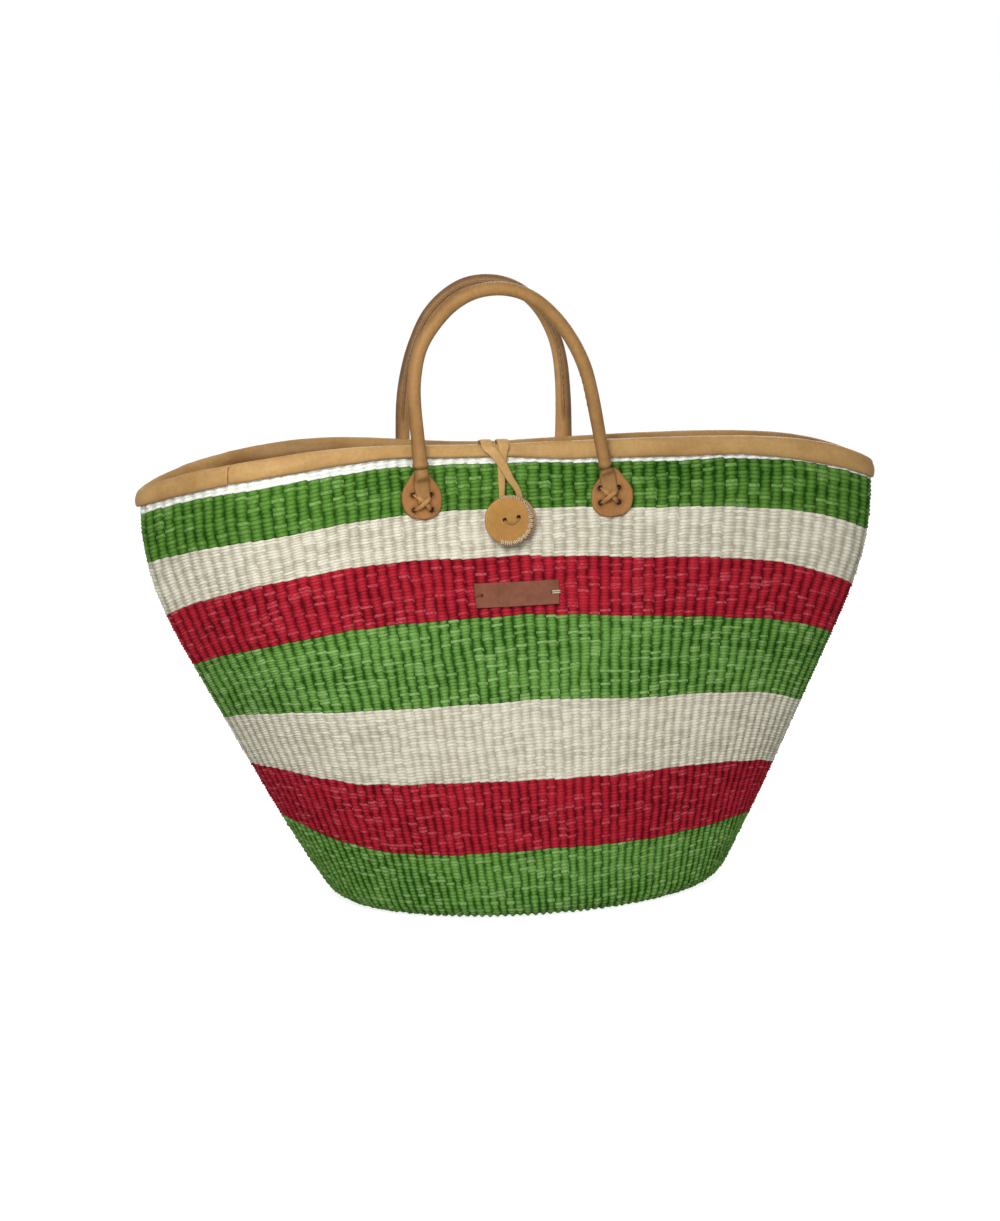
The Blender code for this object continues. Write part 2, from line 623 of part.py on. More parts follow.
class Handle:
    """A rolled leather arch that swings about the line through its two feet."""

    def __init__(self, wall, name, side, feet, rise, shares, seam_turn):
        self.name = name
        self.seam_turn = math.radians(seam_turn)
        self.shares = [wall.share_at(x, side) for x in feet]
        left, right = [wall.point(share, HINGE_DROP, hinge_rise()) for share in self.shares]
        self.left, self.right = left, right
        self.along = (right - left).normalized()
        self.out = self.along.cross(Vector((0, 0, 1))).normalized()
        self.up = self.out.cross(self.along)
        span = (right - left).length
        line = [np.array(left + self.along * span * a + self.up * rise * b) for a, b in shares]
        self.line = [Vector(point) for point in smooth_line(line, HANDLE_POINTS)]
        self.pivot = pivot_at(name + "_pivot", (left + right) / 2)

    def frames(self):
        """Each point of the line with its walk from the nearer foot, tangent and outward side."""
        ends = [self.line[0]] + self.line + [self.line[-1]]
        walked = 0
        walks = []
        for a, b in zip(ends, ends[1:-1]):
            walked += (b - a).length
            walks.append(walked)
        for i, point in enumerate(self.line):
            tangent = (ends[i + 2] - ends[i]).normalized()
            yield point, min(walks[i], walked - walks[i]), tangent, tangent.cross(self.out)

    def ring(self, centre, side, radii, angles):
        return [centre + radius * (math.cos(a) * side + math.sin(a) * self.out)
                for radius, a in zip(radii, angles)]

    def hinge_cutter(self):
        """A bar round the hinge line that leaves each tongue a cup for the handle's round end."""
        middle = (self.left + self.right) / 2
        return drill(self.name + "_hinge_clearance", [(middle, self.along)],
                     HANDLE_FOOT_RADIUS + CLEARANCE,
                     (self.right - self.left).length + 4 * TONGUE_WIDTH, 4 * HANDLE_SIDES)

    def radius(self, walk):
        flare = max(1 - walk / HANDLE_FLARE_LENGTH, 0)
        return HANDLE_RADIUS + (HANDLE_FOOT_RADIUS - HANDLE_RADIUS) * flare

    def make_sleeve(self):
        bore = CORE_RADIUS + CLEARANCE
        foot = HANDLE_FOOT_RADIUS
        lip = (bore + foot) / 2
        gap = SEAM_THICKNESS / 2 / HANDLE_RADIUS
        turns = np.linspace(gap, 2 * math.pi - gap, HANDLE_SIDES)
        angles = self.seam_turn + np.concatenate([turns, [-gap / 2, gap / 2]])
        bore_angles = self.seam_turn + np.linspace(gap, 2 * math.pi + gap, len(angles), endpoint=False)
        frames = list(self.frames())
        outer, inner = [], []
        for point, walk, _, side in frames:
            height = SEAM_HEIGHT * min(max((walk - SEAM_START) / SEAM_TAPER, 0), 1)
            radius = self.radius(walk)
            radii = [radius] * HANDLE_SIDES + [radius + height] * 2
            outer.append(self.ring(point, side, radii, angles))
            inner.append(self.ring(point, side, [bore] * len(angles), bore_angles))
        starts, ends = [], []
        for share in SLEEVE_END_SHARES:
            angle = math.acos(lip / foot) * share
            for (point, _, tangent, side), sign, rings in ((frames[0], -1, starts), (frames[-1], 1, ends)):
                shift = sign * foot * math.sin(angle) * tangent
                radii = [foot * math.cos(angle)] * len(angles)
                rings.append(self.ring(point + shift, side, radii, angles))
        mouths = []
        for point, _, tangent, side, sign in ((*frames[0], -1), (*frames[-1], 1)):
            shift = sign * math.sqrt(foot ** 2 - lip ** 2) * tangent
            mouths.append(self.ring(point + shift, side, [bore] * len(angles), bore_angles))
        rings = starts + outer + ends[::-1] + [mouths[1]] + inner[::-1] + [mouths[0]]
        put(self.name + "_sleeve", loft(rings, closed=True), TAN, self.pivot)

    def make_core(self):
        angles = np.linspace(0, 2 * math.pi, CORE_SIDES, endpoint=False)
        frames = list(self.frames())
        rings = [self.ring(point, side, [CORE_RADIUS] * CORE_SIDES, angles)
                 for point, _, _, side in frames]
        reach = CORE_RADIUS + CLEARANCE / 2
        for (point, _, tangent, side), sign in ((frames[0], -1), (frames[-1], 1)):
            tip = self.ring(point + sign * reach * tangent, side, [CORE_RADIUS / 2] * CORE_SIDES, angles)
            rings = [tip] + rings if sign < 0 else rings + [tip]
        put(self.name + "_core", loft(rings), ROPE, self.pivot)

    def make_thread(self):
        """The seam's thread, along the face of the flange that looks out."""
        across = SEAM_THICKNESS / 2 + CLEARANCE + SEAM_THREAD_RADIUS
        off = HANDLE_RADIUS + SEAM_HEIGHT / 2
        points = []
        for point, walk, _, side in self.frames():
            if walk < SEAM_START + SEAM_TAPER:
                continue
            away = math.cos(self.seam_turn) * side + math.sin(self.seam_turn) * self.out
            facing = -math.sin(self.seam_turn) * side + math.cos(self.seam_turn) * self.out
            points.append(point + off * away + across * facing)
        curve(self.name + "_seam_thread", points, SEAM_THREAD_RADIUS, THREAD, pivot=self.pivot, resolution=0)


def make_handles(wall):
    """Both handles with their tongues, patches and laces; returns the places of all lace holes."""
    holes = []
    for side, feet, rise, shares, seam_turn, shifts, offsets in (
            (FRONT, (FRONT_LEFT_FOOT_X, FRONT_RIGHT_FOOT_X), FRONT_HANDLE_RISE, FRONT_HANDLE_SHARES,
             FRONT_SEAM_TURN, (FRONT_LEFT_LACE_SHIFT, FRONT_RIGHT_LACE_SHIFT),
             ((0, 0), (FRONT_RIGHT_PATCH_ASIDE, FRONT_RIGHT_PATCH_LOWER))),
            (BACK, (BACK_LEFT_FOOT_X, BACK_RIGHT_FOOT_X), BACK_HANDLE_RISE, BACK_HANDLE_SHARES,
             BACK_SEAM_TURN, (0, 0), ((0, 0), (0, 0)))):
        handle = Handle(wall, side + "_handle", side, feet, rise, shares, seam_turn)
        handle.make_sleeve()
        handle.make_core()
        handle.make_thread()
        hinge = handle.hinge_cutter()
        for end, share, shift, (aside, lower) in zip(("left", "right"), handle.shares, shifts, offsets):
            label = side + "_" + end
            drilled = lace_holes(wall, share, shift)
            holes += drilled
            patch = make_patch(wall, label + "_patch", share, shift + aside, lower)
            reach = 2 * (WALL_THICKNESS + patch_rise() + CUT_OVERRUN)
            cut(patch, drill(label + "_patch_holes", drilled, LACE_RADIUS + HOLE_PLAY, reach))
            make_tongue(wall, label + "_tongue", share, hinge, shift)
            make_lace(wall, label + "_lace", share, shift)
    return holes


# The button

class Button:
    """A stack of two leather discs on a lace, square to the wall, that turns on its shank."""

    def __init__(self, wall):
        self.share = wall.share_at(BUTTON_X, FRONT)
        self.foot = wall.point(self.share, BUTTON_DROP)
        self.out = wall.normal(self.share, BUTTON_DROP)
        self.across = Vector((0, 0, 1)).cross(self.out).normalized()
        self.up = self.out.cross(self.across)
        self.thong_top = WALL_CLEARANCE + THONG_THICKNESS + CLEARANCE
        self.back_face = self.thong_top + 2 * BUTTON_LACE_RADIUS + 3 * CLEARANCE
        self.seam = self.back_face + BUTTON_BACK_THICKNESS
        self.front_low = self.seam + CLEARANCE
        self.front_face = self.front_low + BUTTON_FRONT_THICKNESS
        self.pivot = pivot_at("button_pivot", self.foot)

    def at(self, across, up, rise):
        return self.foot + across * self.across + up * self.up + rise * self.out

    def circle(self, radius, rise, shift=0):
        turns = np.linspace(0, 2 * math.pi, BUTTON_SIDES, endpoint=False)
        return [self.at(shift + radius * math.cos(a), radius * math.sin(a), rise) for a in turns]

    def make_discs(self):
        edge = BUTTON_EDGE_ROUND
        holes = [(self.at(across, 0, self.seam), self.out)
                 for across in (-BUTTON_HOLE_HALF_SPREAD, BUTTON_HOLE_HALF_SPREAD)]
        cutter = drill("button_holes", holes, BUTTON_LACE_RADIUS + HOLE_PLAY, 4 * BUTTON_RADIUS)
        for name, low, high, radius, shift in (
                ("button_front_disc", self.front_low, self.front_face, BUTTON_RADIUS, BUTTON_FRONT_SHIFT),
                ("button_back_disc", self.back_face, self.seam, BUTTON_BACK_RADIUS, 0)):
            rings = [self.circle(radius - edge, low, shift), self.circle(radius, low + edge, shift),
                     self.circle(radius, high - edge, shift), self.circle(radius - edge, high, shift)]
            cut(put(name, loft(rings), TAN, self.pivot), cutter)

    def make_lace(self):
        """A closed loop through both holes, joined to a shank and a knot inside the wall."""
        front = self.front_face + CLEARANCE + BUTTON_LACE_RADIUS
        back = self.back_face - CLEARANCE - BUTTON_LACE_RADIUS
        spread = BUTTON_HOLE_HALF_SPREAD
        loop = [self.at(-spread, 0, back), self.at(-spread, 0, front), self.at(spread, 0, front),
                self.at(spread, 0, back)]
        lace = curve("button_lace", loop, BUTTON_LACE_RADIUS, TAN, cyclic=True, pivot=self.pivot)
        knot_rise = -WALL_THICKNESS - CLEARANCE - KNOT_RADIUS
        mesh = bmesh.new()
        turn = self.out.to_track_quat("Z", "Y").to_matrix().to_4x4()
        middle = self.at(0, 0, (back + knot_rise) / 2)
        bmesh.ops.create_cone(mesh, cap_ends=True, segments=HOLE_SIDES, radius1=SHANK_RADIUS,
                              radius2=SHANK_RADIUS, depth=back - knot_rise,
                              matrix=Matrix.Translation(middle) @ turn)
        shank = put("button_shank_shape", mesh, TAN)
        mesh = bmesh.new()
        bmesh.ops.create_icosphere(mesh, subdivisions=1, radius=KNOT_RADIUS,
                                   matrix=Matrix.Translation(self.at(0, 0, knot_rise)))
        knot = put("button_knot_shape", mesh, TAN)
        for tool in (shank, knot):
            tool.hide_render = True
            tool.display_type = "WIRE"
        return lace, shank, knot

    def edge_reach(self, turn):
        """How far the outer of the two discs' edges lies from the front disc's centre."""
        along = BUTTON_FRONT_SHIFT * math.cos(turn)
        aside = BUTTON_FRONT_SHIFT * math.sin(turn)
        return max(BUTTON_RADIUS, math.sqrt(BUTTON_BACK_RADIUS ** 2 - aside ** 2) - along)

    def make_edge_thread(self):
        """A whip stitch round the discs' edge, over the front face and down past the seam."""
        rise = self.front_face + CLEARANCE + EDGE_THREAD_RADIUS
        low = (self.back_face + self.seam) / 2
        off = CLEARANCE + EDGE_THREAD_RADIUS
        steps = (("in", rise), ("out", rise), ("out", low), ("out", low), ("out", rise), ("in", rise))
        points = []
        for stitch in range(EDGE_STITCHES):
            for part, (kind, height) in enumerate(steps):
                turn = 2 * math.pi * (stitch + part / len(steps)) / EDGE_STITCHES
                reach = self.edge_reach(turn) + off if kind == "out" else BUTTON_RADIUS - EDGE_STITCH_REACH
                points.append(self.at(BUTTON_FRONT_SHIFT + reach * math.cos(turn),
                                      reach * math.sin(turn), height))
        curve("button_edge_stitching", points, EDGE_THREAD_RADIUS, THREAD, cyclic=True,
              pivot=self.pivot, resolution=0)

    def shank_hole(self):
        return (self.at(0, 0, -WALL_THICKNESS / 2), self.out)


def join_shapes(target, shapes):
    """Union each helper shape into a curve that is turned into a mesh first."""
    graph = bpy.context.evaluated_depsgraph_get()
    data = bpy.data.meshes.new_from_object(target.evaluated_get(graph))
    name, pivot = target.name, target.parent
    bpy.data.objects.remove(target, do_unlink=True)
    made = bpy.data.objects.new(name, data)
    made.parent = pivot
    bpy.context.collection.objects.link(made)
    for shape in shapes:
        step = made.modifiers.new(shape.name, "BOOLEAN")
        step.operation = "UNION"
        step.object = shape
        step.solver = "EXACT"


# The thong

def ribbon(centres, sides, outs, widths, thicknesses):
    rings = []
    for centre, side, out, width, thickness in zip(centres, sides, outs, widths, thicknesses):
        a, b = side * width / 2, out * thickness / 2
        rings.append([centre - a - b, centre + a - b, centre + a + b, centre - a + b])
    return loft(rings)


def make_thong(wall):
    """One strip: knotted behind the back wall, over the front rim, crossed and round the shank.

    Returns the places where its two ends go through the back wall.
    """
    half = THONG_THICKNESS / 2
    on_binding = WALL_CLEARANCE + BINDING_THICKNESS + 3 * CLEARANCE + half
    on_wall = WALL_CLEARANCE + half
    crossing = on_binding + THONG_THICKNESS + 2 * CLEARANCE
    loop = THONG_SHANK_LOOP
    rows = []

    def strand(rim_x, turn, top_rise, back_x, order):
        """Rows of centre, outward direction and width, from the back wall's knot to the button's side."""
        back = wall.share_at(back_x, BACK)
        outward = wall.normal(back, THONG_BACK_DROP)
        found = []
        knot = 2 * WALL_CLEARANCE
        for rise, width, thick in ((knot + THONG_KNOT_THICKNESS, THONG_KNOT_WIDTH, THONG_KNOT_WIDTH),
                                   (knot, THONG_KNOT_WIDTH, THONG_KNOT_WIDTH),
                                   (WALL_CLEARANCE, THONG_TIP_WIDTH, THONG_THICKNESS),
                                   (-WALL_THICKNESS - THONG_WIDTH, THONG_TIP_WIDTH, THONG_THICKNESS)):
            found.append((wall.point(back, THONG_BACK_DROP, rise), Vector((0, 0, 1)), width, thick))
        rim = wall.share_at(rim_x, FRONT)
        out = wall.normal(rim, 0)
        centre = wall.point(rim, cap_height(), -WALL_THICKNESS / 2)
        radius = cap_height() + 3 * CLEARANCE + half
        inside = wall.point(rim, cap_height() + half, -WALL_THICKNESS / 2 - radius)
        sagged = inside.lerp(found[-1][0], THONG_SAG_SHARE) + Vector((0, 0, radius))
        found.append((sagged, -out, THONG_WIDTH, None))
        for angle in np.radians(THONG_RIM_TURNS):
            away = (Vector((0, 0, 1)) * math.sin(angle) + out * math.cos(angle)).normalized()
            found.append((centre + radius * away, away, THONG_WIDTH, None))
        slide = cap_height() / THONG_CROSSING_DROP
        entry_x = BUTTON_X + turn * loop + THONG_ENTRY_SHIFT
        entry_drop = BUTTON_DROP - BUTTON_BACK_RADIUS
        part = THONG_PARTING_SHARE
        for x, drop, rise, width in ((rim_x + (THONG_CROSSING_X - rim_x) * slide, cap_height(), top_rise,
                                      THONG_WIDTH),
                                     (THONG_CROSSING_X, THONG_CROSSING_DROP, top_rise, THONG_WIDTH),
                                     (THONG_CROSSING_X + (entry_x - THONG_CROSSING_X) * part,
                                      THONG_CROSSING_DROP + (entry_drop - THONG_CROSSING_DROP) * part,
                                      top_rise - half, (THONG_WIDTH + THONG_TIP_WIDTH) / 2),
                                     (entry_x, entry_drop, (on_wall + on_binding) / 2, THONG_TIP_WIDTH),
                                     (BUTTON_X + turn * loop, BUTTON_DROP, on_wall, THONG_TIP_WIDTH)):
            share = wall.share_at(x, FRONT)
            found.append((wall.point(share, drop, rise), wall.normal(share, drop), width, None))
        return found[::order]

    rows += strand(THONG_LEFT_RIM_X, 1, crossing, BUTTON_X - THONG_BACK_HALF_SPREAD, 1)
    for angle in np.radians(THONG_SHANK_TURNS):
        x = BUTTON_X + loop * math.cos(angle)
        share = wall.share_at(x, FRONT)
        drop = BUTTON_DROP - loop * math.sin(angle)
        rows.append((wall.point(share, drop, on_wall), wall.normal(share, drop), THONG_TIP_WIDTH, None))
    rows += strand(THONG_RIGHT_RIM_X, -1, on_binding, BUTTON_X + THONG_BACK_HALF_SPREAD, -1)

    centres = [row[0] for row in rows]
    outs, sides = [], []
    for i, (_, out, _, _) in enumerate(rows):
        tangent = (centres[min(i + 1, len(rows) - 1)] - centres[max(i - 1, 0)]).normalized()
        side = tangent.cross(out).normalized()
        sides.append(side)
        outs.append(side.cross(tangent).normalized())
    widths = [row[2] for row in rows]
    thicknesses = [row[3] or THONG_THICKNESS for row in rows]
    put("closure_thong", ribbon(centres, sides, outs, widths, thicknesses), TAN)
    places = []
    for sign in (-1, 1):
        share = wall.share_at(BUTTON_X + sign * THONG_BACK_HALF_SPREAD, BACK)
        places.append((wall.point(share, THONG_BACK_DROP, -WALL_THICKNESS / 2),
                       wall.normal(share, THONG_BACK_DROP)))
    return places


# The label

def make_label(wall):
    share = wall.share_at(LABEL_X, FRONT)
    rings = []
    half, tall = LABEL_LENGTH / 2, LABEL_HEIGHT / 2
    for across in np.linspace(-half, half, LABEL_RINGS):
        corners = ((-tall, WALL_CLEARANCE), (tall, WALL_CLEARANCE),
                   (tall, WALL_CLEARANCE + LABEL_THICKNESS), (-tall, WALL_CLEARANCE + LABEL_THICKNESS))
        rings.append([wall.beside(share, across, down, rise, LABEL_DROP) for down, rise in corners])
    label = put("label", loft(rings), BROWN)
    inset = half - LABEL_HOLE_INSET
    holes = [(wall.beside(share, across, 0, 0, LABEL_DROP), wall.normal(share, LABEL_DROP))
             for across in (-inset, inset)]
    cut(label, drill("label_holes", holes, LABEL_HOLE_RADIUS, 4 * CUT_OVERRUN))
    low = WALL_CLEARANCE + LABEL_THREAD_RADIUS
    high = WALL_CLEARANCE + LABEL_THICKNESS + CLEARANCE + LABEL_THREAD_RADIUS
    beyond = half + CLEARANCE + LABEL_THREAD_RADIUS
    for name, sign in (("left_label_tack", -1), ("right_label_tack", 1)):
        points = [wall.beside(share, sign * across, 0, rise, LABEL_DROP)
                  for across, rise in ((inset, low), (inset, high), (beyond, high), (beyond, low))]
        curve(name, points, LABEL_THREAD_RADIUS, THREAD, resolution=0)


def main():
    clear_scene()
    wall = Wall()
    make_base(wall)
    bands = make_bands(wall)
    make_binding(wall)
    lace_places = make_handles(wall)
    button = Button(wall)
    button.make_discs()
    lace, shank, knot = button.make_lace()
    join_shapes(lace, (shank, knot))
    button.make_edge_thread()
    thong_places = make_thong(wall)
    make_label(wall)
    through = WALL_THICKNESS + 2 * CUT_OVERRUN
    lace_cutter = drill("lace_holes", lace_places, LACE_RADIUS + HOLE_PLAY, through)
    shank_cutter = drill("shank_hole", [button.shank_hole()], SHANK_RADIUS + HOLE_PLAY, through)
    thong_cutter = drill("thong_holes", thong_places, THONG_TIP_WIDTH / 2 + HOLE_PLAY, through)
    for name in ("upper_band_cream", "top_band_green"):
        for cutter in (lace_cutter, shank_cutter, thong_cutter):
            cut(bands[name], cutter)


main()
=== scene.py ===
import math
import bmesh
import bpy
import numpy as np
from mathutils import Matrix, Quaternion, Vector


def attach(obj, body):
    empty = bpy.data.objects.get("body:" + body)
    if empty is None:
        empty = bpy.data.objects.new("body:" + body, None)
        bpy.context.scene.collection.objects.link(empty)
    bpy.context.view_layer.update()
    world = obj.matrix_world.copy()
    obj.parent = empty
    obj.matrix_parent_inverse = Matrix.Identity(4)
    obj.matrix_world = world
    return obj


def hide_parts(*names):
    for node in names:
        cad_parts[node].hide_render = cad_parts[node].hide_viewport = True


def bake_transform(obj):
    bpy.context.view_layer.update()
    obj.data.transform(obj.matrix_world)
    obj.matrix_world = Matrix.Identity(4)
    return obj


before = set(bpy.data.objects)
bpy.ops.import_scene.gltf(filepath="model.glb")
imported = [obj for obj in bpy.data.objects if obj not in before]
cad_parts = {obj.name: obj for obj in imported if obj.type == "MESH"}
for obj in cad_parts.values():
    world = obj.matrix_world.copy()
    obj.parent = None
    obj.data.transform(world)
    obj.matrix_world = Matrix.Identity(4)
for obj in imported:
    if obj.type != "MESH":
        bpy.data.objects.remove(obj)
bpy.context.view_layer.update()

print("frame loaded:", len(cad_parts), "nodes")


# small helpers for meshes

def gridMesh(table, uv=None, closeAround=False, closeAlong=False, caps=False, extra=None):
    # table holds a point for each row and column; the grid is wrapped onto it and welded where it closes
    rows, cols = table.shape[:2]
    bm = bmesh.new()
    bmesh.ops.create_grid(bm, x_segments=cols - 1, y_segments=rows - 1, size=1)
    mesh = bpy.data.meshes.new("sheet")
    bm.to_mesh(mesh)
    bm.free()
    flat = np.zeros(len(mesh.vertices) * 3)
    mesh.vertices.foreach_get("co", flat)
    flat = flat.reshape(-1, 3)
    col = np.rint((flat[:, 0] + 1) / 2 * (cols - 1)).astype(int)
    row = np.rint((flat[:, 1] + 1) / 2 * (rows - 1)).astype(int)
    mesh.vertices.foreach_set("co", table[row, col].astype(np.float32).ravel())
    corner = np.zeros(len(mesh.loops), int)
    mesh.loops.foreach_get("vertex_index", corner)
    if uv is not None:
        layer = mesh.uv_layers.get("UVMap") or mesh.uv_layers.new(name="UVMap")
        layer.data.foreach_set("uv", uv[row, col][corner].astype(np.float32).ravel())
    for key, values in (extra or {}).items():
        attribute = mesh.attributes.new(key, "FLOAT", "POINT")
        attribute.data.foreach_set("value", values[row, col].astype(np.float32))
    bm = bmesh.new()
    bm.from_mesh(mesh)
    if closeAround or closeAlong:
        bmesh.ops.remove_doubles(bm, verts=bm.verts, dist=0.000002)
    if caps:
        bmesh.ops.holes_fill(bm, edges=[e for e in bm.edges if e.is_boundary])
    bmesh.ops.recalc_face_normals(bm, faces=bm.faces)
    bm.to_mesh(mesh)
    bm.free()
    mesh.shade_smooth()
    return mesh


def addPiece(name, mesh, material, body, slot, *replaced):
    if isinstance(mesh, list):
        mesh = joinMeshes(mesh)
    mesh.name = name
    piece = bpy.data.objects.new(name, mesh)
    bpy.context.scene.collection.objects.link(piece)
    mesh.materials.clear()
    mesh.materials.append(material)
    if body:
        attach(piece, body)
    if replaced:
        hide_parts(*replaced)
    return piece


def joinMeshes(meshes):
    bm = bmesh.new()
    for mesh in meshes:
        bm.from_mesh(mesh)
        bpy.data.meshes.remove(mesh)
    joined = bpy.data.meshes.new("joined")
    bm.to_mesh(joined)
    bm.free()
    joined.shade_smooth()
    return joined


def walkedAlong(line):
    return np.concatenate([[0], np.cumsum(np.linalg.norm(np.diff(line, axis=0), axis=1))])


def roundedLine(points, spacing):
    # a Catmull-Rom line through the points, read at even steps; extra columns ride along
    pts = np.array(points, float)
    known = np.vstack([2 * pts[0] - pts[1], pts, 2 * pts[-1] - pts[-2]])
    dense = []
    for a, b, c, d in zip(known, known[1:], known[2:], known[3:]):
        for t in np.arange(0, 1, 1 / 24):
            dense.append(0.5 * (2 * b + (c - a) * t + (2 * a - 5 * b + 4 * c - d) * t ** 2
                                + (3 * b - a - 3 * c + d) * t ** 3))
    dense.append(pts[-1])
    dense = np.array(dense)
    walked = walkedAlong(dense[:, :3])
    stops = np.linspace(0, walked[-1], max(int(walked[-1] / spacing), 3))
    return np.stack([np.interp(stops, walked, dense[:, k]) for k in range(dense.shape[1])], axis=1)


def unit(v):
    return v / np.maximum(np.linalg.norm(v, axis=-1, keepdims=True), 1e-12)


def squared(values, power):
    # bends a sine or cosine so that it draws a squared circle
    return np.sign(values) * np.abs(values) ** (2 / power)


def gridUV(across, along):
    return np.stack(np.meshgrid(across, along), axis=-1)


def sweep(centres, outs, halfWide, halfThick, sides=12, power=2.0):
    # a closed strip whose section is a squared circle, flat side towards outs: one direction, or one per centre
    centres = np.asarray(centres, float)
    tangents = unit(np.gradient(centres, axis=0))
    across = unit(np.cross(tangents, np.broadcast_to(np.asarray(outs, float), centres.shape)))
    outward = unit(np.cross(across, tangents))
    turns = np.linspace(0, 2 * np.pi, sides + 1)
    wide, thick = [np.broadcast_to(size, (len(centres),))[:, None] for size in (halfWide, halfThick)]
    x, y = squared(np.cos(turns), power) * wide, squared(np.sin(turns), power) * thick
    table = centres[:, None] + x[..., None] * across[:, None] + y[..., None] * outward[:, None]
    table[:, -1] = table[:, 0]
    uv = gridUV(turns / (2 * np.pi), np.arange(len(centres)) / len(centres))
    return gridMesh(table, uv, closeAround=True, caps=True)


def wobble(a, b, seed):
    # a smooth, repeatable unevenness between -1 and 1 from two coordinates
    rng = np.random.default_rng(seed)
    total = 0
    for k in range(6):
        alongA, alongB, start = rng.uniform(0.6, 1.6), rng.uniform(0.6, 1.6), rng.uniform(0, 6.28)
        total = total + np.sin((a * alongA + b * alongB) * (k + 1) * 0.7 + start) / (k + 1)
    return total / 2.45    # the sum of 1 / k


# the wall's surface, in the same sizes as the solids

wallShape = {
    "baseHalfLength": 0.1225, "baseHalfWidth": 0.0755,
    "mouthHalfLength": 0.227, "mouthHalfGap": 0.0144, "leftLobe": 0.0490, "rightLobe": 0.0120,
    "leftLean": 1.42, "rightLean": 1.3, "skew": 0.0096, "endRadius": 0.0084,
    "slant": 0.2897, "thickness": 0.0045, "footRadius": 0.012,
    "steepensFrom": 0.62, "uprightFrom": 0.94, "topLean": -0.055,
    "footBulge": 0.30, "footLean": 1.275,
    "leftShort": 0.006, "rightShort": 0.0125, "backLeftRise": 0.011, "backRoundness": 4,
    "columns": 1584, "levels": 192,
}


def outlineAt(points, shares):
    closed = np.vstack([points, points[:1]])
    walked = walkedAlong(closed)
    return np.stack([np.interp(shares * walked[-1], walked, closed[:, k]) for k in range(2)], axis=1)


def layOutWall(w):
    share = np.arange(w["columns"]) / w["columns"]
    turns = np.linspace(0, 2 * np.pi, 6000, endpoint=False)
    oval = np.stack([w["baseHalfLength"] * np.cos(turns), w["baseHalfWidth"] * np.sin(turns)], axis=1)
    along = np.cos(turns)
    lobe = np.where(along < 0, w["leftLobe"], w["rightLobe"])
    lean = np.where(along < 0, w["leftLean"], w["rightLean"])
    gap = w["mouthHalfGap"] + (lobe - w["mouthHalfGap"]) * np.sin(np.abs(along) ** lean * np.pi) ** 1.5
    blunt = 2 * w["endRadius"] * w["mouthHalfLength"] / w["mouthHalfGap"] ** 2
    closing = np.sqrt(np.clip(1 - np.abs(along) ** blunt, 0, 1))
    mouthLine = np.stack([w["mouthHalfLength"] * along,
                          gap * closing * np.sign(np.sin(turns)) + w["skew"] * along], axis=1)
    base, mouth = outlineAt(oval, share), outlineAt(mouthLine, share)
    along = mouth[:, 0] / w["mouthHalfLength"]
    left, right = np.clip(-along, 0, 1), np.clip(along, 0, 1)
    behind = 1 - (1 - np.clip(np.sin(2 * np.pi * share), 0, 1)) ** w["backRoundness"]
    slants = w["slant"] * (1 - w["leftShort"] * left ** 3 - w["rightShort"] * right ** 3
                           + w["backLeftRise"] * left * behind)
    fine = np.linspace(0, 1, 4000)
    top = np.clip((fine - w["steepensFrom"]) / (w["uprightFrom"] - w["steepensFrom"]), 0, 1)
    foot = np.clip((w["footBulge"] - fine) / w["footBulge"], 0, 1)
    slope = 1 - (1 - w["topLean"]) * top ** 1.5 - (1 - w["footLean"]) * foot ** 1.5
    done = np.concatenate([[0], np.cumsum((slope[1:] + slope[:-1]) / 2)])
    run = np.interp(np.linspace(0, 1, w["levels"] + 1), fine, done / done[-1])[:, None, None]
    plan = base * (1 - run) + mouth * run
    step = np.linalg.norm(np.diff(plan, axis=0), axis=2)
    rise = np.sqrt((slants / w["levels"]) ** 2 - step ** 2)
    height = np.vstack([np.zeros(w["columns"]), np.cumsum(rise, axis=0)])
    points = np.dstack([plan, height])
    normals = unit(np.cross(np.roll(points, -1, axis=1) - np.roll(points, 1, axis=1),
                            np.gradient(points, axis=0)))
    return {"share": share, "base": base, "rim": mouth, "along": along,
            "slants": slants, "points": points, "normals": normals}


wall = layOutWall(wallShape)


def readTable(table, share, level):
    columns, levels = wallShape["columns"], wallShape["levels"]
    x = (np.asarray(share, float) % 1) * columns
    y = np.clip(np.asarray(level, float), 0, 1) * levels
    i, j = x.astype(int) % columns, np.minimum(y.astype(int), levels - 1)
    k = (i + 1) % columns
    a, b = (x - x.astype(int))[..., None], (y - j)[..., None]
    return ((table[j, i] * (1 - a) + table[j, k] * a) * (1 - b)
            + (table[j + 1, i] * (1 - a) + table[j + 1, k] * a) * b)


def fromTable(key, share):
    # a column of the wall's own table, read all the way round
    share = np.asarray(share) % 1
    found = [np.interp(share, np.append(wall["share"], 1), np.append(v, v[0])) for v in np.atleast_2d(wall[key].T)]
    return np.stack(found, axis=-1) if len(found) > 1 else found[0]


def slantAt(share):
    return fromTable("slants", share)


def normalAt(share, drop):
    return unit(readTable(wall["normals"], share, 1 - drop / slantAt(share)))


def onWall(share, drop, rise=0.0):
    # drop runs down from the top of the binding, rise stands off the wall's outer face
    share, drop, rise = np.broadcast_arrays(np.asarray(share, float), drop, rise)
    return (readTable(wall["points"], share, 1 - drop / slantAt(share))
            + rise[..., None] * normalAt(share, drop))


def shareAt(x, behind=False):
    half = wallShape["columns"] // 2
    rim = wall["rim"][:, 0]
    if behind:
        return float(np.interp(-x, -rim[:half + 1], wall["share"][:half + 1]))
    return float(np.interp(x, np.append(rim[half:], rim[0]), np.append(wall["share"][half:], 1)))


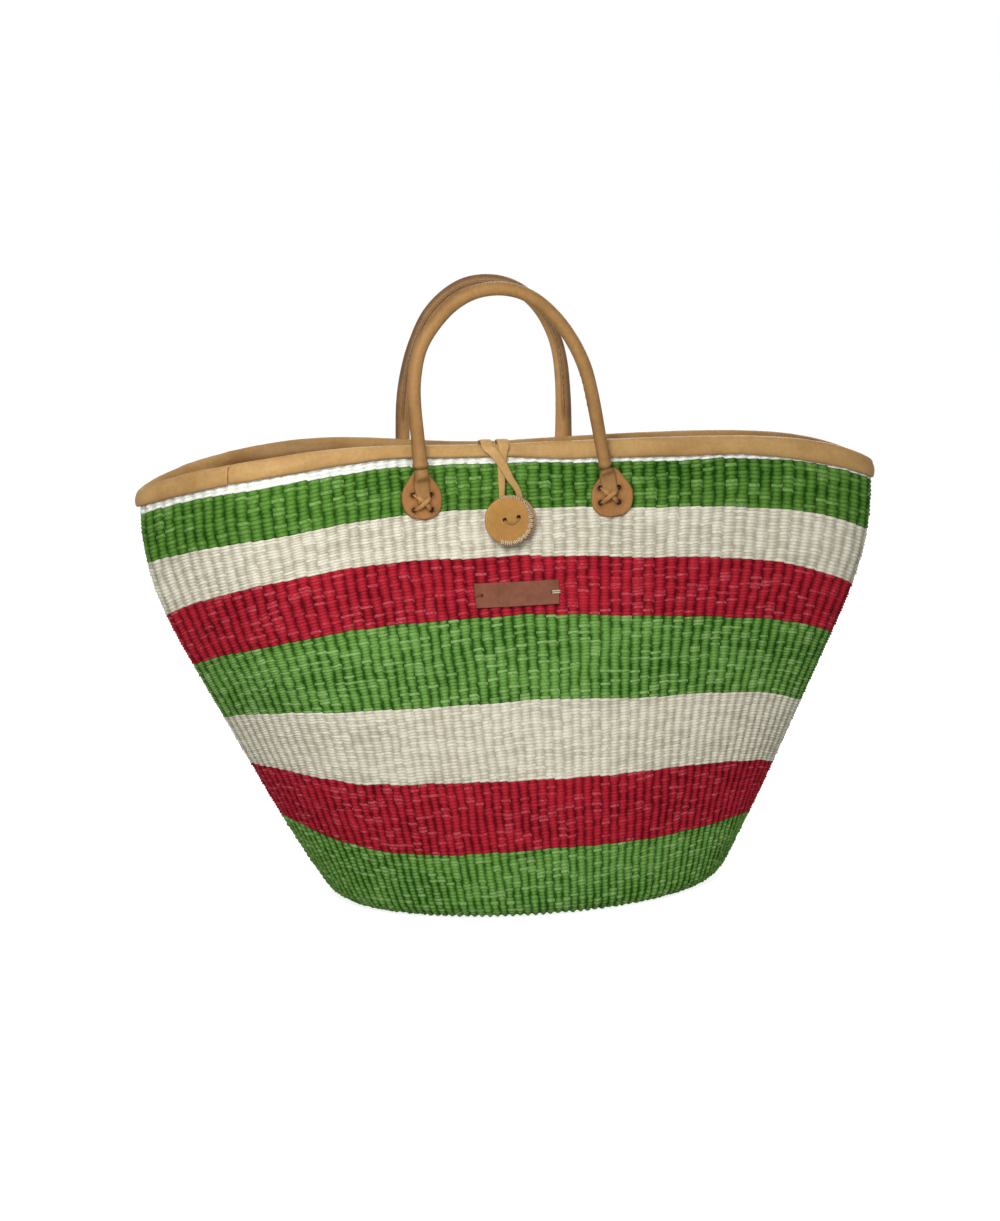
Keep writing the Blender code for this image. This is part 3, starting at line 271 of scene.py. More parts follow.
def reachAt(share, drop):
    # metres round the wall to a whole share
    step = 0.0005
    return np.linalg.norm(onWall(share + step, drop) - onWall(share, drop)) / step


def beside(share, across, down, rise, drop):
    return onWall(share + np.asarray(across) / reachAt(share, drop), drop + np.asarray(down), rise)


print("wall laid out")


# shader parts

def addNode(tree, kind, **settings):
    made = tree.nodes.new(kind)
    for key, value in settings.items():
        setattr(made, key, value)
    return made


def feed(tree, socket, value):
    if hasattr(value, "links"):
        tree.links.new(value, socket)
    else:
        socket.default_value = value


def mathNode(tree, operation, a, b=0.0, c=0.0, clamp=False):
    made = addNode(tree, "ShaderNodeMath", operation=operation, use_clamp=clamp)
    for socket, value in zip(made.inputs, (a, b, c)):
        feed(tree, socket, value)
    return made.outputs[0]


def mixColour(tree, factor, a, b, blend="MIX"):
    made = addNode(tree, "ShaderNodeMix", data_type="RGBA", blend_type=blend)
    feed(tree, made.inputs[0], factor)
    feed(tree, made.inputs[6], a)
    feed(tree, made.inputs[7], b)
    return made.outputs[2]


def ramp(tree, value, low, high):
    made = addNode(tree, "ShaderNodeMapRange", interpolation_type="SMOOTHSTEP")
    feed(tree, made.inputs[0], value)
    made.inputs[1].default_value, made.inputs[2].default_value = low, high
    return made.outputs[0]


def noise(tree, vector, scale, detail=3.0, roughness=0.55):
    made = addNode(tree, "ShaderNodeTexNoise")
    feed(tree, made.inputs["Vector"], vector)
    made.inputs["Scale"].default_value = scale
    made.inputs["Detail"].default_value = detail
    made.inputs["Roughness"].default_value = roughness
    return made.outputs[0]


def startGroup(name, inputs):
    group = bpy.data.node_groups.new(name, "ShaderNodeTree")
    colour, number = "NodeSocketColor", "NodeSocketFloat"
    for label, value in inputs.items():
        kind = colour if isinstance(value, tuple) else number
        group.interface.new_socket(name=label, in_out="INPUT", socket_type=kind).default_value = value
    for label, kind in (("Color", colour), ("Roughness", number), ("Height", number)):
        group.interface.new_socket(name=label, in_out="OUTPUT", socket_type=kind)
    return group, addNode(group, "NodeGroupInput").outputs, addNode(group, "NodeGroupOutput").inputs


def calculator(tree):
    # adds, takes away, multiplies, or multiplies and adds in one node
    def step(operation):
        return lambda a, b, c=0.0, clamp=False: mathNode(tree, operation, a, b, c, clamp)
    return [step(operation) for operation in ("ADD", "SUBTRACT", "MULTIPLY", "MULTIPLY_ADD")]


def mapped(tree, vector, scale):
    made = addNode(tree, "ShaderNodeMapping")
    feed(tree, made.inputs[0], vector)
    made.inputs["Scale"].default_value = scale
    return made.outputs[0]


def twinedGroup():
    # stitches in rows over upright ribs: the UV map counts ribs across and rows up
    group, given, out = startGroup("twinedSisal", {
        "Crown": (0.2, 0.4, 0.1, 1), "Valley": (0.03, 0.1, 0.02, 1), "Fleck": (0.6, 0.6, 0.3, 1),
        "Fleck Share": 0.1, "Valley Depth": 0.8, "Gap Depth": 0.6, "Patchiness": 0.5})
    plus, minus, times, scaled = calculator(group)
    uv = addNode(group, "ShaderNodeUVMap", uv_map="UVMap").outputs[0]
    split = addNode(group, "ShaderNodeSeparateXYZ")
    feed(group, split.inputs[0], uv)
    ribs, rows = split.outputs[0], split.outputs[1]
    # 0 in the middle of a rib or a row and 1 at its edge
    fromMiddle, fromRow = [mathNode(group, "ABSOLUTE", scaled(mathNode(group, "FRACT", way), 2.0, -1.0))
                           for way in (ribs, rows)]
    # one random value for each stitch
    cell = addNode(group, "ShaderNodeCombineXYZ")
    feed(group, cell.inputs[0], mathNode(group, "FLOOR", ribs))
    feed(group, cell.inputs[1], mathNode(group, "FLOOR", rows))
    chance = addNode(group, "ShaderNodeTexWhiteNoise", noise_dimensions="3D")
    feed(group, chance.inputs[0], cell.outputs[0])
    tone = chance.outputs[0]
    fibres = noise(group, mapped(group, uv, (1.7, 0.9, 1)), 2.2, 4.0, 0.75)
    blotches = noise(group, uv, 0.45, 3.0, 0.65)
    broad = noise(group, uv, 0.09, 2.0, 0.5)
    ragged = minus(fibres, 0.5)
    # painted shade: the valleys between the ribs and the gaps between the rows are darkened towards the Valley colour
    edge = scaled(ragged, 1.5, scaled(minus(blotches, 0.5), 0.8, fromMiddle))
    valley = times(ramp(group, edge, 0.15, 1.10), given["Valley Depth"])
    gap = times(ramp(group, scaled(ragged, 1.6, fromRow), 0.40, 1.05),
                times(given["Gap Depth"], scaled(tone, 0.8, 0.6)), clamp=True)
    light = plus(times(minus(1.0, valley), minus(1.0, gap)), scaled(tone, 0.50, -0.22))
    uneven = times(minus(scaled(broad, 0.6, times(blotches, 0.4)), 0.5), given["Patchiness"])
    light = scaled(uneven, 1.6, light, clamp=True)
    grey = addNode(group, "ShaderNodeCombineColor")
    shade = scaled(fibres, 1.4, 0.33)
    for socket in grey.inputs[:3]:
        feed(group, socket, shade)
    base = mixColour(group, light, given["Valley"], given["Crown"])
    base = mixColour(group, 1.0, base, grey.outputs[0], "MULTIPLY")
    # some stitches, or parts of them, are paler: paler fibre, and a painted highlight on the middle of each stitch
    pick = plus(times(fibres, 0.7), times(tone, 0.45))
    chosen = times(minus(pick, minus(0.90, given["Fleck Share"])), 5.0, clamp=True)
    chosen = times(chosen, minus(1.0, times(fromRow, fromRow)))
    feed(group, out["Color"], mixColour(group, times(chosen, 0.6), base, given["Fleck"]))
    feed(group, out["Roughness"], scaled(fibres, 0.3, 0.55))
    feed(group, out["Height"], scaled(tone, 0.3, fibres))
    return group


def leatherGroup():
    # mottled colour, fine pores and soft creases
    group, given, out = startGroup("tannedLeather", {
        "Color": (0.5, 0.3, 0.12, 1), "Dark": (0.3, 0.15, 0.06, 1), "Shade And Stain": (0.12, 0.05, 0.02, 1),
        "Mottle": 0.4, "Creases": 0.3})
    plus, minus, times, scaled = calculator(group)
    place = addNode(group, "ShaderNodeTexCoord").outputs["Object"]
    broad = noise(group, place, 45, 4.0, 0.6)
    fine = noise(group, place, 420, 4.0, 0.65)
    pores = addNode(group, "ShaderNodeTexVoronoi", feature="F1")
    feed(group, pores.inputs["Vector"], place)
    pores.inputs["Scale"].default_value = 1300
    creases = ramp(group, noise(group, mapped(group, place, (1.0, 1.0, 0.35)), 190, 3.0, 0.5), 0.56, 0.72)
    mottle = times(ramp(group, broad, 0.38, 0.68), given["Mottle"])
    mottle = plus(mottle, times(creases, times(given["Creases"], 0.5)), clamp=True)
    # the mesh's own shade attribute carries painted shade in folds, creases, hole floors, along edges and on the side
    # that faces in, with the binding's random stains
    shadeAndStain = addNode(group, "ShaderNodeAttribute", attribute_name="shade").outputs["Fac"]
    shadeAndStain = times(shadeAndStain, scaled(broad, 0.9, 0.55), clamp=True)
    lightness = addNode(group, "ShaderNodeHueSaturation")
    feed(group, lightness.inputs["Color"], mixColour(
        group, shadeAndStain, mixColour(group, mottle, given["Color"], given["Dark"]), given["Shade And Stain"]))
    feed(group, lightness.inputs["Value"], scaled(fine, 0.45, 0.78))
    feed(group, out["Color"], lightness.outputs[0])
    feed(group, out["Roughness"], scaled(broad, 0.25, 0.38))
    height = plus(times(fine, 0.5), times(pores.outputs["Distance"], 0.3))
    feed(group, out["Height"], minus(height, times(creases, given["Creases"])))
    return group


def strandGroup():
    # twisted yarn or rope, on Object coordinates
    group, given, out = startGroup("twistedStrand", {
        "Color": (0.8, 0.7, 0.5, 1), "Dark": (0.4, 0.3, 0.2, 1), "Scale": 600.0})
    plus, minus, times, scaled = calculator(group)
    place = addNode(group, "ShaderNodeTexCoord").outputs["Object"]
    wave = addNode(group, "ShaderNodeTexWave", bands_direction="DIAGONAL")
    feed(group, wave.inputs["Vector"], place)
    feed(group, wave.inputs["Scale"], given["Scale"])
    wave.inputs["Distortion"].default_value = 1.5
    fibre = noise(group, place, 1500, 3.0, 0.7)
    feed(group, out["Color"], mixColour(group, times(wave.outputs[1], 0.6), given["Color"], given["Dark"]))
    feed(group, out["Roughness"], scaled(fibre, 0.3, 0.55))
    feed(group, out["Height"], plus(wave.outputs[1], times(fibre, 0.5)))
    return group


twined, leather, strand = twinedGroup(), leatherGroup(), strandGroup()


def makeMaterial(name, group, values, bump, specular=None):
    made = bpy.data.materials.new(name)
    made.use_nodes = True
    tree = made.node_tree
    shader = tree.nodes["Principled BSDF"]
    block = addNode(tree, "ShaderNodeGroup", node_tree=group)
    for key, value in values.items():
        block.inputs[key].default_value = (*value, 1) if isinstance(value, tuple) else value
    relief = addNode(tree, "ShaderNodeBump")
    relief.inputs["Distance"].default_value = bump
    feed(tree, relief.inputs["Height"], block.outputs["Height"])
    feed(tree, shader.inputs["Base Color"], block.outputs["Color"])
    feed(tree, shader.inputs["Roughness"], block.outputs["Roughness"])
    feed(tree, shader.inputs["Normal"], relief.outputs[0])
    if specular is not None:
        shader.inputs["Specular IOR Level"].default_value = specular
    return made


# Valley is the colour of the painted shade in the valleys between the ribs and the gaps between the rows
sisalLooks = {
    "greenDeep": {"Crown": (0.117, 0.275, 0.040), "Valley": (0.004, 0.040, 0.001), "Fleck": (0.42, 0.62, 0.24),
                  "Fleck Share": 0.20, "Valley Depth": 0.88, "Gap Depth": 0.55, "Patchiness": 0.8},
    "greenMid": {"Crown": (0.175, 0.375, 0.075), "Valley": (0.012, 0.062, 0.003), "Fleck": (0.46, 0.64, 0.28),
                 "Fleck Share": 0.23, "Valley Depth": 1.0, "Gap Depth": 0.55, "Patchiness": 0.8},
    "red": {"Crown": (0.50, 0.020, 0.038), "Valley": (0.10, 0.001, 0.005), "Fleck": (0.80, 0.26, 0.30),
            "Fleck Share": 0.18, "Valley Depth": 0.95, "Gap Depth": 0.5, "Patchiness": 0.7},
    "cream": {"Crown": (0.80, 0.76, 0.615), "Valley": (0.28, 0.25, 0.17), "Fleck": (0.93, 0.91, 0.80),
              "Fleck Share": 0.16, "Valley Depth": 0.50, "Gap Depth": 0.5, "Patchiness": 0.6},
    "pale": {"Crown": (0.97, 0.98, 0.92), "Valley": (0.50, 0.53, 0.40), "Fleck": (1.0, 1.0, 0.97),
             "Fleck Share": 0.25, "Valley Depth": 0.35, "Gap Depth": 0.5, "Patchiness": 0.5},
}
sisal = {key: makeMaterial("sisal_" + key, twined, look, 0.0005, 0.06) for key, look in sisalLooks.items()}

leatherLooks = {
    # colour, darker mottling, colour for painted shade and stains, mottle, creases, height of the grain, gloss
    "binding_leather": ((0.50, 0.305, 0.115), (0.385, 0.205, 0.068), (0.17, 0.075, 0.022), 0.5, 0.3, 0.0002, 0.16),
    "handle_leather": ((0.345, 0.185, 0.062), (0.23, 0.113, 0.037), (0.075, 0.028, 0.008), 0.5, 0.4, 0.0002, 0.18),
    "worn_handle_leather": ((0.46, 0.255, 0.092), (0.33, 0.185, 0.085), (0.085, 0.036, 0.018), 0.7, 0.5, 0.0002, 0.18),
    "patch_leather": ((0.39, 0.185, 0.058), (0.26, 0.108, 0.033), (0.045, 0.016, 0.006), 0.5, 0.35, 0.00018, 0.18),
    "lace_leather": ((0.43, 0.22, 0.078), (0.30, 0.145, 0.048), (0.10, 0.035, 0.01), 0.5, 0.3, 0.00018, 0.18),
    "button_leather": ((0.42, 0.215, 0.052), (0.31, 0.145, 0.033), (0.12, 0.04, 0.012), 0.45, 0.2, 0.00015, 0.2),
    "button_back_leather": ((0.42, 0.22, 0.13), (0.30, 0.14, 0.08), (0.12, 0.05, 0.02), 0.5, 0.2, 0.00018, 0.15),
    "label_leather": ((0.235, 0.082, 0.044), (0.12, 0.042, 0.024), (0.12, 0.05, 0.02), 0.7, 0.4, 0.0002, 0.16),
}
hides = {name: makeMaterial(name, leather, dict(zip(("Color", "Dark", "Shade And Stain", "Mottle", "Creases"), look)), *look[5:])
         for name, look in leatherLooks.items()}

yarnLooks = {
    # colour, darker turns, how close the twist is, height of the twist
    "waxed_thread": ((0.80, 0.70, 0.50), (0.45, 0.33, 0.2), 700.0, 0.0002),
    # a darker copy of the thread, painted shade
    "dark_thread": ((0.16, 0.075, 0.045), (0.06, 0.028, 0.018), 700.0, 0.0002),
    "worn_thread": ((0.40, 0.29, 0.17), (0.20, 0.13, 0.07), 700.0, 0.0002),
    "core_rope": ((0.62, 0.53, 0.38), (0.35, 0.27, 0.17), 160.0, 0.0005),
}
yarns = {name: makeMaterial(name, strand, dict(zip(("Color", "Dark", "Scale"), look)), look[3])
         for name, look in yarnLooks.items()}
print("materials made")


# the woven wall

weave = {
    "ribs": 132, "ribSteps": 6, "rowSteps": 4, "innerStep": 3,
    "valleyDepth": 0.0012, "rowDepth": 0.0006, "crownRise": 0.0005, "stitchSlant": 0.00045, "waver": 0.0008,
    "ribWaver": 0.15, "ribStep": 0.0011, "unevenStitch": 0.0007, "innerRelief": 0.6, "footRows": 8, "baseRows": 30,
    "edgePlaces": (-1, -0.88, -0.75, -0.6, -0.45, -0.3, -0.15, 0, 0.15, 0.3, 0.45, 0.6, 0.75, 0.88, 1),
    "edges": (
        (0.226, 0.199, 0.1715, 0.152, 0.142, 0.14, 0.142, 0.144, 0.144, 0.142, 0.143, 0.1465, 0.1505, 0.155, 0.1595),
        (0.3555, 0.3395, 0.321, 0.301, 0.293, 0.291, 0.29, 0.289, 0.287, 0.2865, 0.289, 0.288, 0.2845, 0.282, 0.28),
        (0.472, 0.47, 0.468, 0.46, 0.454, 0.453, 0.455, 0.458, 0.455, 0.447, 0.4455, 0.444, 0.4405, 0.436, 0.431),
        (0.6055, 0.609, 0.616, 0.624, 0.6285, 0.6315, 0.636, 0.639, 0.633, 0.624, 0.6165, 0.609, 0.6035, 0.6, 0.596),
        (0.7255, 0.7335, 0.7435, 0.7505, 0.7555, 0.7605, 0.762, 0.763, 0.757, 0.748, 0.7425, 0.738, 0.729, 0.72, 0.713),
        (0.844, 0.839, 0.838, 0.84, 0.847, 0.857, 0.8635, 0.864, 0.86, 0.854, 0.85, 0.8485, 0.845, 0.8415, 0.841),
        (0.9455, 0.9425, 0.9415, 0.9415, 0.947, 0.9555, 0.9595, 0.959, 0.954, 0.95, 0.949, 0.952, 0.951, 0.9495, 0.95)),
    "unevenEdge": 0.0006,
}
rimCap = 0.00415   # how far the woven edge lies below the top of the binding
bands = (
    ("foot_band_green", "greenMid", "green_sisal", 23), ("lower_band_red", "red", "red_sisal", 21),
    ("lower_band_cream", "cream", "cream_sisal", 25), ("middle_band_green", "greenMid", "green_sisal", 26),
    ("upper_band_red", "red", "red_sisal", 18), ("upper_band_cream", "cream", "cream_sisal", 16),
    ("top_band_green", "greenDeep", "green_sisal", 12), ("top_row_cream", "pale", "cream_sisal", 5),
)


def ribPhase(share):
    return share * weave["ribs"]


def bandEdge(number, share):
    along = fromTable("along", share)
    # one height for a whole rib, so that every edge steps from rib to rib
    rib = np.floor(ribPhase(share))
    uneven = wobble(rib * 0.9, rib * 0.31 + number, 20 + number)
    at = np.interp(along, weave["edgePlaces"], weave["edges"][number])
    return (1 - at) * slantAt(share) + weave["unevenEdge"] * uneven


def stitchLean(share):
    # each rib's stitches lean across it, and the next rib starts them again
    return weave["stitchSlant"] * (ribPhase(share) % 1 - 0.42)


def hashed(a, b):
    value = np.sin(a * 12.9898 + b * 78.233) * 43758.5453
    return value - np.floor(value)


def weaveRise(share, phase):
    across, rib = ribPhase(share) % 1, np.floor(ribPhase(share))
    crown = 0.5 - 0.5 * np.cos(2 * np.pi * across)
    inRow = phase % 1
    stitch = np.sqrt(np.clip(1 - (2 * inRow - 1) ** 2, 0, 1))
    uneven = (hashed(rib, np.floor(phase)) - 0.5) * weave["unevenStitch"] * stitch
    gap = weave["rowDepth"] * (1 - stitch) * (0.25 + 0.75 * crown)
    return weave["crownRise"] - weave["valleyDepth"] * (1 - crown) - gap + uneven * crown


def waver(share, level):
    return weave["waver"] * wobble(share * 150, level * 40, 3)


def footOval(share):
    # the base's outline and the direction straight out of it
    oval = fromTable("base", share)
    return oval, unit(oval / np.array([wallShape["baseHalfLength"] ** 2, wallShape["baseHalfWidth"] ** 2]))


def footLine(share, along, inner):
    # the outer or inner line of the foot band from its lower edge to where the wall runs straight
    radius, thickness = wallShape["footRadius"], wallShape["thickness"]
    oval, out = footOval(share)
    ground = np.zeros(share.shape + (1,))
    low = np.concatenate([oval - radius * out, ground], axis=-1)
    corner = np.concatenate([oval, ground], axis=-1)
    drop = slantAt(share) - radius
    end = onWall(share, drop)
    if inner:
        climb = end - onWall(share, slantAt(share))
        low = low + np.array([0, 0, thickness])
        end = onWall(share, drop, -thickness)
        corner = end - climb * ((end[..., 2] - thickness) / climb[..., 2])[..., None]
    t = along[..., None]
    point = low * (1 - t) ** 2 + 2 * corner * t * (1 - t) + end * t ** 2
    slope = 2 * (corner - low) * (1 - t) + 2 * (end - corner) * t
    sideways = np.stack([-out[..., 1], out[..., 0], np.zeros(share.shape)], axis=-1)
    return point, unit(np.cross(sideways, slope))


def makeBand(number, name, look, slot, rows):
    foot, last = number == 0, number == len(bands) - 1
    cols = weave["ribs"] * weave["ribSteps"] + 1
    share = np.linspace(0, 1, cols)
    rib = np.floor(ribPhase(share))
    curved = weave["footRows"] if foot else 0
    top = np.full(cols, rimCap) if last else bandEdge(number, share)
    bottom = slantAt(share) - wallShape["footRadius"] if foot else bandEdge(number - 1, share)
    innerRise = -weave["innerRelief"] * weaveRise(share, np.full(cols, 0.5))
    lines, uvs = [], []

    def addLine(points, phase, shift):
        # the shift starts the stitches' random tones afresh
        lines.append(points)
        uvs.append(np.stack([ribPhase(share), np.full(cols, phase + shift)], axis=-1))

    def wallRow(phase, inner):
        part = (phase - curved) / (rows - curved)
        ends = np.sin(np.pi * part)
        drop = bottom + (top - bottom) * part
        drop = drop + ends * waver(share, drop / 0.29 + 0.02 * (hashed(rib, number) - 0.5))
        drop = drop + min(4 * ends, 1) * weave["ribStep"] * (hashed(rib, 3) - 0.5)
        lean = stitchLean(share) * (min(part * 4, 1) if foot else 1)
        rise = innerRise - wallShape["thickness"] if inner else weaveRise(share, np.full(cols, phase))
        # the rib wanders a little from side to side on its way up
        sway = weave["ribWaver"] / weave["ribs"] * wobble(rib * 0.37, drop * 90, 8) * ends
        addLine(onWall(share + sway, drop - lean, rise), phase, number * 40 + (300 if inner else 0))

    def footRow(phase, inner):
        point, normal = footLine(share, np.full(cols, phase / curved), inner)
        rise = innerRise if inner else weaveRise(share, np.full(cols, phase))
        addLine(point + normal * rise[:, None], phase, 60 if inner else 0)

    steps, upright = weave["rowSteps"], rows - curved
    if foot:
        for phase in np.linspace(0, curved, curved * steps + 1)[:-1]:
            footRow(phase, False)
    for phase in np.linspace(curved, rows, upright * steps + 1):
        wallRow(phase, False)
    for phase in np.linspace(rows, curved, max(upright // weave["innerStep"], 1) + 1):
        wallRow(phase, True)
    if foot:
        for phase in np.linspace(curved, 0, 5)[1:]:
            footRow(phase, True)
    return wovenPiece(name, lines, uvs, look, slot)


def wovenPiece(name, lines, uvs, look, slot):
    table = np.array(lines + lines[:1])
    table[:, -1] = table[:, 0]
    mesh = gridMesh(table, np.array(uvs + uvs[:1]), closeAround=True, closeAlong=True)
    return addPiece(name + "_weave", mesh, sisal[look], "basket", slot, name)


for number, (name, look, slot, rows) in enumerate(bands):
    made = makeBand(number, name, look, slot, rows)
    print("woven", name, len(made.data.polygons) * 2, "triangles")


def makeBase():
    # rings of stitches round the oval, the ribs thinning out towards the middle
    cols, rowCount = weave["ribs"] * weave["ribSteps"] + 1, weave["baseRows"]
    share = np.linspace(0, 1, cols)
    oval, out = footOval(share)
    edge = oval - (wallShape["footRadius"] + 0.0001) * out
    spine = wallShape["baseHalfLength"] - wallShape["baseHalfWidth"]
    middle = np.stack([np.clip(edge[:, 0] * 0.45, -spine, spine), np.zeros(cols)], axis=-1)
    lines, uvs = [], []
    for side, level in ((0, 0.0), (1, wallShape["thickness"])):
        phases = np.linspace(rowCount, 0, rowCount * 2 + 1)
        for phase in (phases[::-1] if side else phases):
            part = phase / rowCount
            relief = np.minimum(weaveRise(share, np.full(cols, phase)) * part - 0.0002, 0)
            height = level + (relief if side else -relief)
            lines.append(np.concatenate([middle + (edge - middle) * part, height[:, None]], axis=1))
            uvs.append(np.stack([ribPhase(share), np.full(cols, phase + side * 100 + 900)], axis=-1))
    return wovenPiece("base_disc", lines, uvs, "greenMid", "green_sisal")


makeBase()
print("base woven")


# the leather binding on the rim

binding = {"seamX": -0.171, "seamGap": 0.0005, "thickness": 0.0015, "clearance": 0.0004, "around": 720,
           "puff": 0.0009, "wrinkle": 0.00035,
           "hem": ((-0.224, 0.0107), (-0.212, 0.0119), (-0.193, 0.0125), (-0.17, 0.0113), (-0.13, 0.0108),
                   (-0.1, 0.0092), (-0.075, 0.0076), (-0.04, 0.0074), (-0.005, 0.0078), (0.012, 0.0092),
                   (0.03, 0.0104), (0.067, 0.0114), (0.106, 0.0117), (0.142, 0.0112), (0.165, 0.0122),
                   (0.192, 0.0136), (0.216, 0.0131))}


def makeBinding():
    seam = shareAt(binding["seamX"])
    half = binding["seamGap"] / 2 / reachAt(seam, 0.0)
    share = seam + np.concatenate([[half, half + 0.0004],
                                   np.linspace(half + 0.001, 1 - half - 0.001, binding["around"]),
                                   [1 - half - 0.0004, 1 - half]])
    count = len(share)
    x = fromTable("rim", share)[:, 0]
    hem = np.interp(x, *zip(*binding["hem"])) + 0.0003 * wobble(share * 70, share * 9, 5)
    middle = -wallShape["thickness"] / 2
    inner = wallShape["thickness"] / 2 + binding["clearance"]
    outer = inner + binding["thickness"]
    turns = np.linspace(0, np.pi, 9)
    pinch = np.ones(count)
    pinch[[0, -1]] = 0.72                       # the leather thins at its butt seam
    crumpled = 0.3 + 0.7 * np.clip((-x - 0.12) / 0.08, 0, 1)
    downs = (1.0, 0.97, 0.85, 0.65, 0.4, 0.18)  # share of the hem's depth, from its edge up
    skin, shades = [], []

    def reachOut(value, puff):
        bend = binding["wrinkle"] * wobble(share * 190, np.full(count, value * 3.0), 9) * crumpled
        return inner + (outer + puff + bend - inner) * pinch

    # random stains, plus painted shade: the side that faces in darkens towards its hem, the fold over the rim darkens
    # on its inner half, and the outer side darkens along its hem
    def stainedAndShaded(value, shade):
        shades.append(0.22 * np.clip(wobble(share * 55, np.full(count, value * 1.5), 14), 0, 1) + shade)

    def dropLine(value, side):
        reach = reachOut(value, binding["puff"] * np.sin(np.pi * (1 - value)) ** 0.8)
        skin.append(onWall(share, rimCap + value * (hem - rimCap), middle + side * reach))
        stainedAndShaded(value, 0.55 * max(0, (value - 0.8) / 0.2) if side > 0 else 0.55 + 0.4 * value)

    for value in downs:
        dropLine(value, 1)
    for value in turns:
        reach = reachOut(value, 0)
        skin.append(onWall(share, rimCap - reach * math.sin(value), middle + reach * math.cos(value)))
        stainedAndShaded(value, 0.55 * max(0, (value / math.pi - 0.35) / 0.65))
    for value in downs[::-1]:
        dropLine(value, -1)
    # the side that lies against the weave
    lining = [onWall(share, rimCap + t * (hem - rimCap), middle - inner) for t in (1.0, 0.5, 0.0)]
    lining += [onWall(share, rimCap - inner * math.sin(a), middle + inner * math.cos(a)) for a in turns[::-1][1:-1]]
    lining += [onWall(share, rimCap + t * (hem - rimCap), middle + inner) for t in (0.0, 0.5, 1.0)]
    table = np.array(skin + lining + skin[:1])
    shades += [np.zeros(count)] * len(lining) + shades[:1]
    mesh = gridMesh(table, gridUV(share, np.arange(len(table)) / len(table)), closeAlong=True, caps=True,
                    extra={"shade": np.array(shades)})
    addPiece("rim_binding_leather", mesh, hides["binding_leather"], "basket", "tan_leather", "rim_binding")


makeBinding()
print("binding folded over the rim")


# handles, tongues, patches and laces

fastening = {"hingeDrop": 0.0152, "hingeRise": 0.0073, "patchRise": 0.0022, "tongueRise": 0.0025,
             "tongueThick": 0.002, "tongueWide": 0.0098, "tipWide": 0.0078, "tongueLong": 0.0200,
             "patchHigh": 0.031, "patchWide": 0.0265, "patchTop": 0.0062, "patchOver": 0.0013, "patchThick": 0.0018,
             "laceUpper": 0.0145, "laceLower": 0.0237, "laceSpread": 0.0058, "laceWide": 0.0013, "laceThick": 0.0006,
             "holeRadius": 0.0018, "holeDepth": 0.006}
handles = {
    "front": {"feet": (-0.0612, 0.0537), "rise": 0.107, "seamTurn": -70, "shifts": (0.0022, 0.0035),
              "creases": (0.0020, -0.0010), "footRadii": (0.0044, 0.0037), "flare": 0.032, "sideShade": (0.42, -90),
              "patchMoves": ((0, 0), (0.0017, 0.0033)),
              "line": ((0, 0), (-0.018, 0.23), (-0.032, 0.45), (-0.013, 0.607), (0.015, 0.704), (0.085, 0.81),
                       (0.174, 0.91), (0.287, 0.977), (0.415, 1), (0.542, 0.981), (0.649, 0.918), (0.747, 0.819),
                       (0.832, 0.69), (0.897, 0.541), (0.939, 0.35), (0.970, 0.17), (1, 0))},
    "back": {"feet": (-0.069, 0.0337), "rise": 0.1115, "seamTurn": 86, "shifts": (0.0, 0.0),
             "creases": (-0.0030, -0.0030), "footRadii": (0.0046, 0.0057), "flare": 0.075, "sideShade": (0.46, 200),
             "patchMoves": ((0, 0), (0, 0)),
             "line": ((0, 0), (0.003, 0.165), (0.012, 0.36), (0.052, 0.553), (0.0900, 0.654), (0.1650, 0.803),
                      (0.271, 0.907), (0.392, 0.978), (0.5375, 1), (0.692, 0.974), (0.805, 0.905), (0.888, 0.816),
                      (0.944, 0.712), (0.986, 0.58), (1.005, 0.333), (1, 0))},
}
tube = {"radius": 0.0041, "coreRadius": 0.0027, "coreInset": 0.004, "smoothings": 18, "unevenness": 0.025,
        "seamHeight": 0.0024, "seamHalf": 0.16, "seamStart": 0.024, "seamTaper": 0.010, "sides": 28,
        "lipAt": 0.0021, "lipLong": 0.0013, "creaseLong": 0.0007, "blend": 0.007,
        "stitch": 0.0034, "stitchGap": 0.0013, "threadRadius": 0.00035, "threadOut": 0.55, "threadOff": 0.00062}


def eased(t):
    t = np.clip(t, 0, 1)
    return t * t * (3 - 2 * t)


def makeTongue(share, shift):
    # from the hinge line down to the tongue's tip, lying on the patch
    rows = [beside(share, shift * min(down / fastening["laceUpper"], 1), down, rise, fastening["hingeDrop"])
            for down, rise in ((0.004, 0.0062), (0.0075, 0.0046), (0.011, 0.0038), (0.0145, 0.0037),
                               (0.018, 0.0038), (fastening["tongueLong"], 0.0036))]
    return np.array(rows), normalAt(share, fastening["hingeDrop"] + 0.01)


